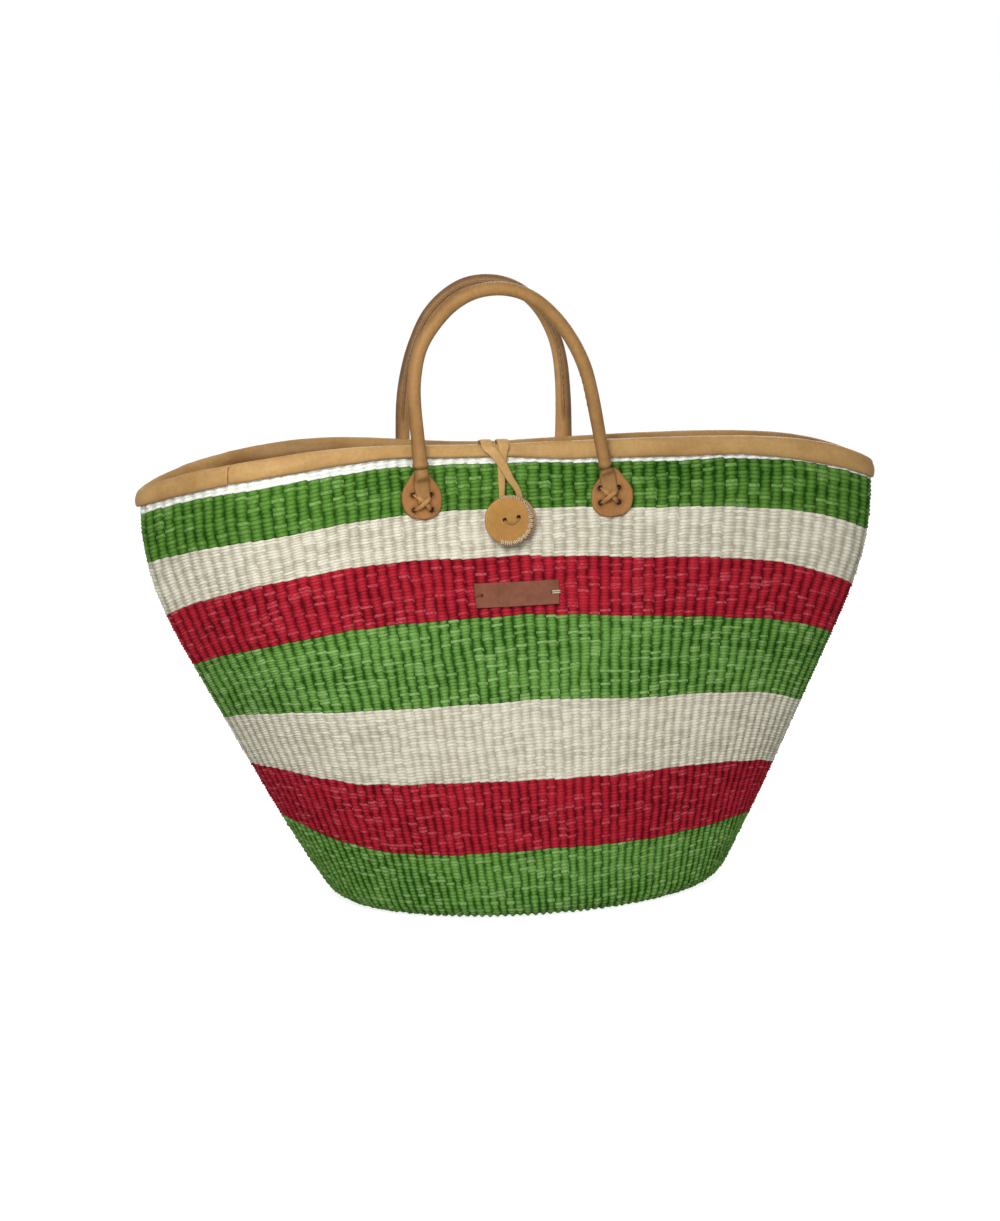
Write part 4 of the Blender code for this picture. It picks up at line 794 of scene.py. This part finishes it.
def makeHandle(side, look):
    spec = handles[side]
    behind = side == "back"
    turnSign = -1 if behind else 1
    shares = [shareAt(x, behind) for x in spec["feet"]]
    left, right = [onWall(s, fastening["hingeDrop"], fastening["hingeRise"]) for s in shares]
    along = unit(right - left)
    front = unit(np.cross(along, [0, 0, 1]))
    up = np.cross(front, along)
    span = np.linalg.norm(right - left)
    arch = roundedLine([left + along * span * a + up * spec["rise"] * b for a, b in spec["line"]], 0.0022)
    for _ in range(tube["smoothings"]):
        arch[1:-1] = (arch[:-2] + 2 * arch[1:-1] + arch[2:]) / 4
    (leftTongue, leftNormal), (rightTongue, rightNormal) = [
        makeTongue(share, shift) for share, shift in zip(shares, spec["shifts"])]
    tongueLong = walkedAlong(np.vstack([leftTongue[::-1], left]))[-1]
    centres = roundedLine(np.vstack([leftTongue[::-1], arch, rightTongue]), 0.0009)
    walked = walkedAlong(centres)
    atLeft = walked < walked[-1] / 2
    walk = np.minimum(walked, walked[-1] - walked) - tongueLong      # below zero on the tongue
    flat = eased((-walk - 0.0015) / 0.005)
    # the rolled leather ends in a lip, with a crease under it, where the flat tongue starts
    fromCrease = walk - np.where(atLeft, *spec["creases"])
    lip = np.exp(-((fromCrease - tube["lipAt"]) / tube["lipLong"]) ** 2)
    crease = np.exp(-(fromCrease / tube["creaseLong"]) ** 2)
    mix = np.clip(-walk / 0.010, 0, 1)[:, None]
    facing = unit(front * turnSign * (1 - mix) + np.where(atLeft[:, None], leftNormal, rightNormal) * mix)
    flare = np.clip(1 - np.maximum(walk, 0) / spec["flare"], 0, 1)
    radius = tube["radius"] + (np.where(atLeft, *spec["footRadii"]) - tube["radius"]) * flare
    radius = radius * (1 + tube["unevenness"] * wobble(walked * 60, walked * 23, 31 if behind else 32))
    tip = np.clip((-walk - 0.010) / (tongueLong - 0.010), 0, 1)
    wide = radius * (1 - flat) + fastening["tongueWide"] / 2 * flat
    wide = wide + (fastening["tipWide"] - fastening["tongueWide"]) / 2 * tip + 0.0006 * lip - 0.0005 * crease
    thick = radius * (1 - flat) + fastening["tongueThick"] / 2 * flat + 0.0005 * lip - 0.0007 * crease
    wide[[0, -1]] *= 0.8
    thick[[0, -1]] *= 0.6
    # section: a circle with a pinched seam, flattening to a strap at both ends;
    # angle 0 points to the arch's inside and 90 degrees to the front
    tangents = unit(np.gradient(centres, axis=0))
    across = unit(np.cross(tangents, facing))
    outward = unit(np.cross(across, tangents)) * turnSign
    seam = math.radians(spec["seamTurn"])
    turns = np.linspace(0, 2 * np.pi, tube["sides"] + 1)[:-1]
    nearSeam = seam + np.array([-0.35, -0.2, -0.13, -0.06, 0.06, 0.13, 0.2, 0.35])
    theta = np.sort(np.concatenate([turns, nearSeam % (2 * np.pi)]))
    theta = np.concatenate([theta, [theta[0] + 2 * np.pi]])
    away = np.abs((theta - seam + np.pi) % (2 * np.pi) - np.pi)
    seamHere = np.clip((walk - tube["seamStart"]) / tube["seamTaper"], 0, 1)[:, None]
    fin = tube["seamHeight"] * np.clip((tube["seamHalf"] - away) / 0.07, 0, 1) * seamHere
    power = (2 + 2.2 * flat)[:, None]
    c, s = np.cos(theta), np.sin(theta)
    inward = np.cross(tangents, front)
    inward = unit(np.where((walk > 0)[:, None], inward, np.sign((across * inward).sum(1))[:, None] * across))
    px, py = squared(c, power) * wide[:, None] + c * fin, squared(s, power) * thick[:, None] + s * fin
    table = centres[:, None] + px[..., None] * inward[:, None] + py[..., None] * outward[:, None]
    table[:, -1] = table[:, 0]
    # painted shade: darker in the crease under the lip, along the flat tongue's edges and on one side of the tube; a
    # narrow darker line also runs beside the seam's fin
    amount, turn = spec["sideShade"]
    shadedSide = amount * np.clip(1 + np.cos(theta - math.radians(turn)), 0, 1.4) ** 1.3 * (1 - flat[:, None])
    shade = np.clip(crease[:, None] + 0.55 * flat[:, None] * np.abs(c) ** 8 + shadedSide
                    + 0.5 * np.clip(1 - np.abs(away - 0.12) / 0.10, 0, 1) * seamHere, 0, 1)
    mesh = gridMesh(table, gridUV(theta / (2 * np.pi), walked * 10), closeAround=True, caps=True,
                    extra={"shade": shade})
    piece = addPiece(side + "_handle_leather", mesh, look, None, "tan_leather",
                     side + "_handle_sleeve", side + "_left_tongue", side + "_right_tongue")
    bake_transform(piece)
    # the seam's stitches, on the flange's face
    stitches = []
    margin = tongueLong + tube["seamStart"] + tube["seamTaper"]
    at = margin
    lift = np.array([0.0, 0.00035, 0.00045, 0.00035, 0.0])
    while at + tube["stitch"] < walked[-1] - margin:
        places = np.linspace(at, at + tube["stitch"], len(lift))
        centre, first, second = [np.stack([np.interp(places, walked, line[:, k]) for k in range(3)], axis=1)
                                 for line in (centres, inward, outward)]
        first, second = unit(first), unit(second)
        radial = first * math.cos(seam) + second * math.sin(seam)
        face = second * math.cos(seam) - first * math.sin(seam)
        rows = (centre + radial * (tube["radius"] + tube["seamHeight"] * tube["threadOut"])
                + face * (tube["threadOff"] + lift)[:, None])
        stitches.append(sweep(rows, face, tube["threadRadius"], tube["threadRadius"], sides=6))
        at += tube["stitch"] + tube["stitchGap"]
    addPiece(side + "_handle_stitches", stitches, yarns["worn_thread"], side + "_handle", "thread",
             side + "_handle_seam_thread")
    inside = walk > tube["coreInset"]
    core = sweep(centres[inside], facing[inside], tube["coreRadius"], tube["coreRadius"])
    addPiece(side + "_handle_rope", core, yarns["core_rope"], side + "_handle", "rope", side + "_handle_core")
    return shares


def cutHoles(mesh, cutters):
    # punch holes through a small piece with an exact boolean, then keep the result as its mesh
    def link(data):
        made = bpy.data.objects.new("punched", data)
        bpy.context.scene.collection.objects.link(made)
        return made

    things = [link(mesh)]
    for centre, direction, radius, length in cutters:
        bm = bmesh.new()
        turn = Vector(direction).to_track_quat("Z", "Y").to_matrix().to_4x4()
        bmesh.ops.create_cone(bm, cap_ends=True, segments=20, radius1=radius, radius2=radius, depth=length,
                              matrix=Matrix.Translation(Vector(centre)) @ turn)
        data = bpy.data.meshes.new("punch")
        bm.to_mesh(data)
        bm.free()
        things.append(link(data))
        step = things[0].modifiers.new("hole", "BOOLEAN")
        step.operation, step.solver, step.object = "DIFFERENCE", "EXACT", things[-1]
    made = bpy.data.meshes.new_from_object(things[0].evaluated_get(bpy.context.evaluated_depsgraph_get()))
    for thing in things[1:] + things[:1]:
        bpy.data.objects.remove(thing, do_unlink=True)
    if "shade" in made.attributes:
        # painted shade: the floor of a blind hole is darkened
        shade = made.attributes["shade"].data
        places, values = np.array([v.co for v in made.vertices]), np.zeros(len(made.vertices))
        shade.foreach_get("value", values)
        for centre, direction, radius, length in cutters:
            along = (places - centre) @ direction
            aside = np.linalg.norm(places - centre - along[:, None] * direction, axis=1)
            values[(aside < radius * 1.02) & (np.abs(along + length / 2) < 0.0001)] = 1
        shade.foreach_set("value", values)
    made.shade_smooth()
    made.set_sharp_from_angle(angle=math.radians(40))
    return made


def patchOutline():
    # a teardrop: a small round above, a big squarer one below, and the straight flanks between them
    f = fastening
    big, small = f["patchWide"] / 2, f["patchTop"]
    lean = math.asin((big - small) / (f["patchHigh"] - big - small))
    half = [(small * math.cos(a), small - small * math.sin(a)) for a in np.linspace(math.pi / 2, lean, 14)]
    for a in np.linspace(lean, -math.pi / 2, 24):
        square, sink = (0.82, 0.97) if a < 0 else (1, 1)
        half.append((big * max(math.cos(a), 0) ** square,
                     f["patchHigh"] - big - big * math.copysign(abs(math.sin(a)) ** square, a) * sink))
    half = np.array(half)
    return np.vstack([half, half[-2:0:-1] * [-1, 1], half[:1]])


def makePatch(side, end, share, shift, move):
    f = fastening
    outline = patchOutline()
    centre = np.array([0, f["patchHigh"] * 0.56])
    low, high = f["patchRise"] - f["patchThick"], f["patchRise"]
    rings = [(0.02, low), (0.5, low), (0.95, low), (0.985, low + 0.0003), (1.0, low + 0.0008),
             (0.995, high - 0.0004), (0.975, high - 0.0001), (0.94, high + 0.00005)]
    rings += [(scale, high + 0.0001 * scale) for scale in (0.88, 0.8, 0.7, 0.6, 0.5, 0.4, 0.3, 0.2, 0.1, 0.02)]
    places = [(shift + across, down) for down in (f["laceUpper"], f["laceLower"])
              for across in (-f["laceSpread"], f["laceSpread"])]
    table, shades = [], []
    for scale, rise in rings:
        flat = centre + (outline - centre) * scale
        curl = 0.0006 * wobble(flat[:, 0] * 260, flat[:, 1] * 260, len(end) + len(side)) * scale ** 4
        across, down = shift + move[0] + flat[:, 0], flat[:, 1] - f["patchOver"] + move[1]
        table.append(beside(share, across, down, rise + np.maximum(curl, -0.0001), f["hingeDrop"]))
        # painted shade: darker in a ring round each lace hole; the patch is also darker at its edge
        nearHole = np.min([np.hypot(across - a, down - d) for a, d in places], axis=0)
        rim = 0.35 if 0.97 < scale else 0.12 * max(0, scale - 0.8) / 0.17
        shades.append(np.maximum(rim, np.exp(-np.clip(nearHole - f["holeRadius"], 0, 1) / 0.0008)))
    table = np.array(table)
    table[:, -1] = table[:, 0]
    uv = gridUV(np.linspace(0, 1, len(outline)), np.linspace(0, 1, len(rings)))
    mesh = gridMesh(table, uv, closeAround=True, caps=True, extra={"shade": np.array(shades)})
    # the holes stop just above the wall, and their floor is darkened as painted shade
    holes = [(beside(share, across, down, low + 0.0002 + f["holeDepth"] / 2, f["hingeDrop"]),
              normalAt(share, f["hingeDrop"] + down), f["holeRadius"], f["holeDepth"]) for across, down in places]
    name = side + "_" + end + "_patch"
    addPiece(name + "_leather", cutHoles(mesh, holes), hides["patch_leather"], "basket", "tan_leather", name)


def makeLace(side, end, share, shift):
    f = fastening
    spread, top, low = f["laceSpread"], f["laceUpper"], f["laceLower"]
    middle = (top + low) / 2
    over = f["tongueRise"] + f["tongueThick"] + 0.0008
    facing = normalAt(share, f["hingeDrop"] + middle)
    strips = []

    def strip(route, spacing):
        line = roundedLine([beside(share, shift + a, d, h, f["hingeDrop"]) for a, d, h in route], spacing)
        strips.append(sweep(line, facing, f["laceWide"], f["laceThick"], power=2.6))

    for start, lift in ((-spread, 0.0), (spread, 0.0012)):
        strip([(start * 0.76, top, -0.0050), (start * 0.76, top, 0.0010), (start * 0.71, top + 0.0005, 0.0028),
               (start * 0.45, top + (middle - top) * 0.55, over + lift * 0.8), (0, middle, over + lift),
               (-start * 0.45, low + (middle - low) * 0.55, over + lift * 0.8 - 0.0004),
               (-start * 0.71, low - 0.0005, 0.0028), (-start * 0.76, low, 0.0010),
               (-start * 0.76, low, -0.0050)], 0.0006)
    # the runs inside the wall
    for across in (-spread, spread):
        strip([(across, top, -0.0042), (across, top + 0.0008, -0.0058), (across, middle, -0.0062),
               (across, low - 0.0008, -0.0058), (across, low, -0.0042)], 0.0008)
    name = side + "_" + end + "_lace"
    addPiece(name + "_strip", strips, hides["lace_leather"], "basket", "tan_leather", name)


for side, look in (("front", "handle_leather"), ("back", "worn_handle_leather")):
    feet = makeHandle(side, hides[look])
    spec = handles[side]
    for end, share, shift, move in zip(("left", "right"), feet, spec["shifts"], spec["patchMoves"]):
        makePatch(side, end, share, shift, move)
        makeLace(side, end, share, shift)
    print(side, "handle sewn and laced on")


# the button

button = {"x": -0.0052, "drop": 0.0465, "radius": 0.0146, "backRadius": 0.0153, "shift": -0.0019,
          "frontThick": 0.0024, "backThick": 0.0022, "lift": 0.0048, "holeSpread": 0.0043, "holeRadius": 0.0014,
          "stitches": 44, "threadRadius": 0.0004}


def makeButton():
    b = button
    share = shareAt(b["x"])
    foot, out = onWall(share, b["drop"]), normalAt(share, b["drop"])
    across = unit(np.cross([0, 0, 1], out))
    up = np.cross(out, across)

    def at(x, y, rise):
        return foot + np.multiply.outer(x, across) + np.multiply.outer(y, up) + np.multiply.outer(rise, out)

    def disc(radius, low, high, shift, seed):
        turns = np.linspace(0, 2 * np.pi, 73)
        c, s = np.cos(turns), np.sin(turns)
        uneven = 1 + 0.012 * wobble(c * 3, s * 3, seed)
        rings = [(0.02, 0), (0.6, 0), (0.95, 0), (0.985, 0.12), (1, 0.35), (1, 0.65), (0.985, 0.9),
                 (0.955, 1.0), (0.9, 1.03), (0.6, 1.06), (0.3, 1.05), (0.02, 1.05)]
        table = []
        for scale, level in rings:
            r = radius * scale * uneven
            cup = 0.00035 * wobble(c * 2 * scale, s * 2 * scale, seed + 3) * scale - 0.0005 * (1 - scale ** 2)
            table.append(at(shift + r * c, r * s, low + (high - low) * level + cup * (level > 0.5)))
        table = np.array(table)
        table[:, -1] = table[:, 0]
        uv = gridUV(turns / (2 * np.pi), np.linspace(0, 1, len(rings)))
        mesh = gridMesh(table, uv, closeAround=True, caps=True)
        return cutHoles(mesh, [(at(x, y, (low + high) / 2), out, b["holeRadius"], 0.01)
                               for x, y in ((-b["holeSpread"], 0.0003), (b["holeSpread"], 0.0016))])

    low = b["lift"]
    seam = low + b["backThick"]
    face = seam + 0.0002 + b["frontThick"]
    addPiece("button_back_disc_leather", disc(b["backRadius"], low, seam, 0.0, 40), hides["button_back_leather"],
             "button", "tan_leather", "button_back_disc")
    addPiece("button_front_disc_leather", disc(b["radius"], seam + 0.0002, face, b["shift"], 44),
             hides["button_leather"], "button", "tan_leather", "button_front_disc")
    # lace: a bar over the face that dips between the holes, and its shank and knot inside the wall
    s = b["holeSpread"]
    bar = [(-s, -0.0006, low - 0.0006), (-s, -0.0006, face - 0.0009), (-s * 0.7, -0.0013, face - 0.0002),
           (0, -0.0021, face + 0.0001), (s * 0.7, -0.0008, face - 0.0002), (s, 0.0005, face - 0.0009),
           (s, 0.0005, low - 0.0006)]
    under = [(-s, 0, low - 0.0003), (-s * 0.5, 0, low - 0.0011), (0, 0, low - 0.0013),
             (s * 0.5, 0, low - 0.0011), (s, 0, low - 0.0003)]
    shank = [(0, 0, r) for r in (low - 0.001, 0, -0.003, -0.0062)]
    turns = np.linspace(0, 4.4 * np.pi, 60)
    knot = at(0.0019 * np.cos(turns), 0.0019 * np.sin(turns), -0.0082 + 0.0011 * np.sin(turns * 0.72))
    strips = [sweep(roundedLine([at(*p) for p in bar], 0.0005), out, 0.0007, 0.0005, power=2.4),
              sweep(roundedLine([at(*p) for p in under], 0.0007), out, 0.0008, 0.0006, sides=10),
              sweep(roundedLine([at(*p) for p in shank], 0.0008), across, 0.0012, 0.0012),
              sweep(knot, out, 0.0011, 0.0008, sides=10)]
    addPiece("button_lace_strip", strips, hides["handle_leather"], "button", "tan_leather", "button_lace")
    # whip stitches over the front disc's edge: small at the top, pale and close on the right and below
    stitches = []
    rng = np.random.default_rng(7)
    for k in range(b["stitches"]):
        turn = math.radians(104 - 216 * k / (b["stitches"] - 1)) + rng.uniform(-0.015, 0.015)
        big = 0.6 + 0.4 * min(max((math.radians(60) - turn) / 0.8, 0), 1)
        edge = b["radius"]
        inset = edge - rng.uniform(0.0016, 0.0027) * big
        lean = rng.uniform(0.0, 0.05)
        rows = [(inset, turn, face - 0.0006), (inset + 0.0004, turn, face + 0.0003),
                (edge - 0.0003, turn + lean * 0.5, face + 0.0002), (edge + 0.0004, turn + lean, face - 0.0008),
                (edge + 0.0004, turn + lean, seam + 0.0001)]
        line = roundedLine([at(b["shift"] + r * math.cos(a), r * math.sin(a), h) for r, a, h in rows], 0.0005)
        facing = unit(at(math.cos(turn), math.sin(turn), 1.0) - foot)
        stitches.append(sweep(line, facing, b["threadRadius"] * big, b["threadRadius"] * big, sides=6))
    addPiece("button_whip_stitches", stitches, yarns["waxed_thread"], "button", "thread", "button_edge_stitching")


makeButton()
print("button stitched")


# the thong

thong = {"width": 0.0060, "tipWidth": 0.0036, "thick": 0.0016, "crossX": -0.0092, "crossDrop": 0.0119,
         "leftRim": -0.0178, "rightRim": -0.0076, "loop": 0.0054, "entryShift": 0.0009, "parting": 0.45,
         "backDrop": 0.0235, "backSpread": 0.007}


def makeThong():
    t, b = thong, button
    half, tip = t["thick"] / 2, t["tipWidth"]
    onBinding = 0.0004 + binding["thickness"] + 0.0011 + half

    def strand(rimX, turn, topRise, backX):
        # (place, way that the strap faces, width) from the back wall over the rim to the button
        back, rim = shareAt(backX, True), shareAt(rimX)
        found = [(onWall(back, t["backDrop"], rise), (0, 0, 1), tip)
                 for rise in (0.0012, -wallShape["thickness"] - 0.003, -wallShape["thickness"] - 0.007)]
        out = normalAt(rim, 0.0)
        centre = onWall(rim, rimCap, -wallShape["thickness"] / 2)
        radius = rimCap + 0.0014 + half
        inside = onWall(rim, rimCap + 0.004, -wallShape["thickness"] / 2 - radius)
        found.append((inside * 0.75 + found[-1][0] * 0.25 + np.array([0, 0, radius * 0.8]), -out, t["width"]))
        for angle in np.radians((130, 105, 80, 55, 25)):
            away = unit(np.array([0, 0, 1]) * math.sin(angle) + out * math.cos(angle))
            found.append((centre + radius * away, away, t["width"] * (1 + 0.25 * math.sin(angle))))
        crossX, crossDrop, part = t["crossX"], t["crossDrop"], t["parting"]
        loopX = b["x"] + turn * t["loop"]
        entryX, entryDrop = loopX + t["entryShift"], b["drop"] - b["backRadius"]
        for x, drop, rise, width in (
                (rimX + (crossX - rimX) * rimCap / crossDrop, rimCap, topRise, t["width"]),
                (crossX, crossDrop, topRise, t["width"] * 0.9),
                (crossX + (entryX - crossX) * part, crossDrop + (entryDrop - crossDrop) * part, topRise - half,
                 t["width"] * 0.75),
                (entryX, entryDrop, 0.0028, tip), (loopX, b["drop"], 0.0013, tip)):
            share = shareAt(x)
            found.append((onWall(share, drop, rise), normalAt(share, drop), width))
        return found

    rows = strand(t["leftRim"], 1, onBinding + t["thick"] + 0.0003, b["x"] - t["backSpread"])
    for angle in np.radians((-45, -90, -135)):
        share = shareAt(b["x"] + t["loop"] * math.cos(angle))
        drop = b["drop"] - t["loop"] * math.sin(angle)
        rows.append((onWall(share, drop, 0.0013), normalAt(share, drop), tip))
    rows += strand(t["rightRim"], -1, onBinding, b["x"] + t["backSpread"])[::-1]
    line = roundedLine([[*place, *out, width] for place, out, width in rows], 0.0012)
    strips = [sweep(line[:, :3], unit(line[:, 3:6]), line[:, 6] / 2, half, sides=16, power=3.2)]
    # the knots behind the back wall
    turns = np.linspace(0, 4.2 * np.pi, 70)
    for sign in (-1, 1):
        back = shareAt(b["x"] + sign * t["backSpread"], True)
        out = normalAt(back, t["backDrop"])
        across = unit(np.cross([0, 0, 1], out))
        loops = (onWall(back, t["backDrop"], 0.0028) + np.multiply.outer(0.0024 * np.cos(turns), across)
                 + np.multiply.outer(0.0022 * np.sin(turns), np.cross(out, across))
                 + np.multiply.outer(0.0009 * np.sin(turns * 0.73 + sign), out))
        strips.append(sweep(loops, out, 0.0016, 0.0008, power=2.6))
    addPiece("closure_thong_strip", strips, hides["binding_leather"], "basket", "tan_leather", "closure_thong")


makeThong()
print("thong tied")


# the label

label = {"x": -0.004, "drop": 0.092, "long": 0.0525, "high": 0.0152, "thick": 0.0014, "rise": 0.0004,
         "holeInset": 0.0042, "holeRadius": 0.0011, "edge": 0.0004, "threadRadius": 0.00045}


def makeLabel():
    l = label
    share = shareAt(l["x"])
    out = normalAt(share, l["drop"])
    halfLong, halfHigh = l["long"] / 2, l["high"] / 2
    xs = np.concatenate([[-1, -0.985], np.linspace(-0.96, 0.96, 33), [0.985, 1]]) * halfLong
    ys = np.concatenate([[-1, -0.965], np.linspace(-0.9, 0.9, 11), [0.965, 1]]) * halfHigh
    gridX, gridY = np.meshgrid(xs, ys)
    inside = np.clip(np.minimum(halfLong - np.abs(gridX), halfHigh - np.abs(gridY)) / l["edge"], 0, 1)
    wavy = 0.00025 * wobble(gridX * 120, gridY * 160, 61) * inside
    face = l["rise"] + l["thick"] - l["edge"] * (1 - inside) ** 2 + wavy
    mesh = gridMesh(beside(share, gridX, gridY, face, l["drop"]))
    # the plate's sides and back
    bm = bmesh.new()
    bm.from_mesh(mesh)
    made = bmesh.ops.extrude_edge_only(bm, edges=[e for e in bm.edges if e.is_boundary])["geom"]
    bmesh.ops.translate(bm, vec=Vector(-out * (l["thick"] - l["edge"] - 0.0001)),
                        verts=[v for v in made if isinstance(v, bmesh.types.BMVert)])
    bmesh.ops.holes_fill(bm, edges=[e for e in bm.edges if e.is_boundary])
    bmesh.ops.triangulate(bm, faces=[f for f in bm.faces if len(f.verts) > 4])
    bmesh.ops.recalc_face_normals(bm, faces=bm.faces)
    bm.to_mesh(mesh)
    bm.free()
    inset = halfLong - l["holeInset"]
    holes = [(beside(share, x, 0, 0.001, l["drop"]), out, l["holeRadius"], 0.01) for x in (-inset, inset)]
    addPiece("label_leather", cutHoles(mesh, holes), hides["label_leather"], "basket", "brown_leather", "label")
    high = l["rise"] + l["thick"] + 0.0003
    rows = [(inset, -0.0005), (inset + 0.0002, high - 0.0006), (inset + 0.0009, high), (halfLong - 0.0004, high),
            (halfLong + 0.0004, high - 0.0005), (halfLong + 0.0006, 0.0)]
    # the left tack's thread is darker than the right's: painted shade of its hole
    for name, sign, look in (("left_label_tack", -1, "dark_thread"), ("right_label_tack", 1, "waxed_thread")):
        strips = []
        for y in (-0.0004, 0.0004):
            turned = [beside(share, sign * x, y * (1 + 0.5 * sign), rise, l["drop"]) for x, rise in rows]
            strips.append(sweep(roundedLine(turned, 0.0006), out, l["threadRadius"], l["threadRadius"], sides=8))
        addPiece(name + "_thread", strips, yarns[look], "basket", "thread", name)


makeLabel()
print("label tacked on")


# floor, light and camera

def seenOutright(tree):
    # 1 for a ray that shows the background itself, 0 for one that only gathers its light
    path = addNode(tree, "ShaderNodeLightPath")
    mirrored = mathNode(tree, "MAXIMUM", path.outputs["Is Glossy Ray"], path.outputs["Is Transmission Ray"])
    return mathNode(tree, "MAXIMUM", path.outputs["Is Camera Ray"], mirrored)


studio = {"world": 0.35, "aim": (0, 0, 0.15), "floorAt": -0.0006, "floorGrey": (0.6, 0.6, 0.6, 1),
          "floorGlow": 0.85, "lamps": {
              "keyLamp": {"place": (-0.13, -0.47, 0.48), "size": (0.24, 0.24), "energy": 2.5},
              "backLamp": {"place": (0.4, 1.2, 0.9), "size": (0.9, 0.8), "energy": 9}}}


def makeFloor():
    bm = bmesh.new()
    bmesh.ops.create_grid(bm, x_segments=1, y_segments=1, size=6)
    mesh = bpy.data.meshes.new("floor")
    bm.to_mesh(mesh)
    bm.free()
    floor = bpy.data.objects.new("floor", mesh)
    floor.location.z = studio["floorAt"]
    bpy.context.scene.collection.objects.link(floor)
    made = bpy.data.materials.new("pale_floor")
    made.use_nodes = True
    tree = made.node_tree
    tree.nodes.clear()
    diffuse, glow, both = [addNode(tree, kind) for kind in (
        "ShaderNodeBsdfDiffuse", "ShaderNodeEmission", "ShaderNodeAddShader")]
    diffuse.inputs[0].default_value = studio["floorGrey"]
    tree.links.new(mathNode(tree, "MULTIPLY", seenOutright(tree), studio["floorGlow"]), glow.inputs[1])
    tree.links.new(diffuse.outputs[0], both.inputs[0])
    tree.links.new(glow.outputs[0], both.inputs[1])
    tree.links.new(both.outputs[0], addNode(tree, "ShaderNodeOutputMaterial").inputs[0])
    mesh.materials.append(made)


def lightStudio():
    world = bpy.data.worlds.new("studio")
    bpy.context.scene.world = world
    world.use_nodes = True
    tree = world.node_tree
    tree.nodes.clear()
    mix = addNode(tree, "ShaderNodeMixShader")
    tree.links.new(seenOutright(tree), mix.inputs[0])
    # the light that it gives, then the white that is seen
    for number, strength in ((1, studio["world"]), (2, 1.0)):
        sky = addNode(tree, "ShaderNodeBackground")
        sky.inputs[0].default_value = (1, 1, 1, 1)
        sky.inputs[1].default_value = strength
        tree.links.new(sky.outputs[0], mix.inputs[number])
    tree.links.new(mix.outputs[0], addNode(tree, "ShaderNodeOutputWorld").inputs[0])
    for name, spec in studio["lamps"].items():
        lamp = bpy.data.lights.new(name, "AREA")
        lamp.shape, lamp.energy = "RECTANGLE", spec["energy"]
        lamp.size, lamp.size_y = spec["size"]
        holder = bpy.data.objects.new(name, lamp)
        holder.location = spec["place"]
        aim = Vector(studio["aim"]) - Vector(spec["place"])
        holder.rotation_euler = aim.to_track_quat("-Z", "Y").to_euler()
        bpy.context.scene.collection.objects.link(holder)


makeFloor()
lightStudio()

shot = {"target": (0, 0, 0.15), "azimuth": -5.42, "elevation": 11.19, "roll": 1.957, "distance": 1.1937,
        "lens": 56.07, "shift": (-0.0163, 0.0338)}


def placeCamera():
    a, e = math.radians(shot["azimuth"]), math.radians(shot["elevation"])
    back = Vector((math.sin(a) * math.cos(e), -math.cos(a) * math.cos(e), math.sin(e)))
    lens = bpy.data.cameras.new("camera")
    lens.sensor_width, lens.lens = 36, shot["lens"]
    lens.shift_x, lens.shift_y = shot["shift"]
    camera = bpy.data.objects.new("camera", lens)
    camera.location = Vector(shot["target"]) + back * shot["distance"]
    camera.rotation_mode = "QUATERNION"
    level = (-back).to_track_quat("-Z", "Y")
    camera.rotation_quaternion = level @ Quaternion((0, 0, 1), -math.radians(shot["roll"]))
    bpy.context.scene.collection.objects.link(camera)
    bpy.context.scene.camera = camera


placeCamera()
bpy.context.scene.view_settings.view_transform = "Standard"
print("camera and light set")
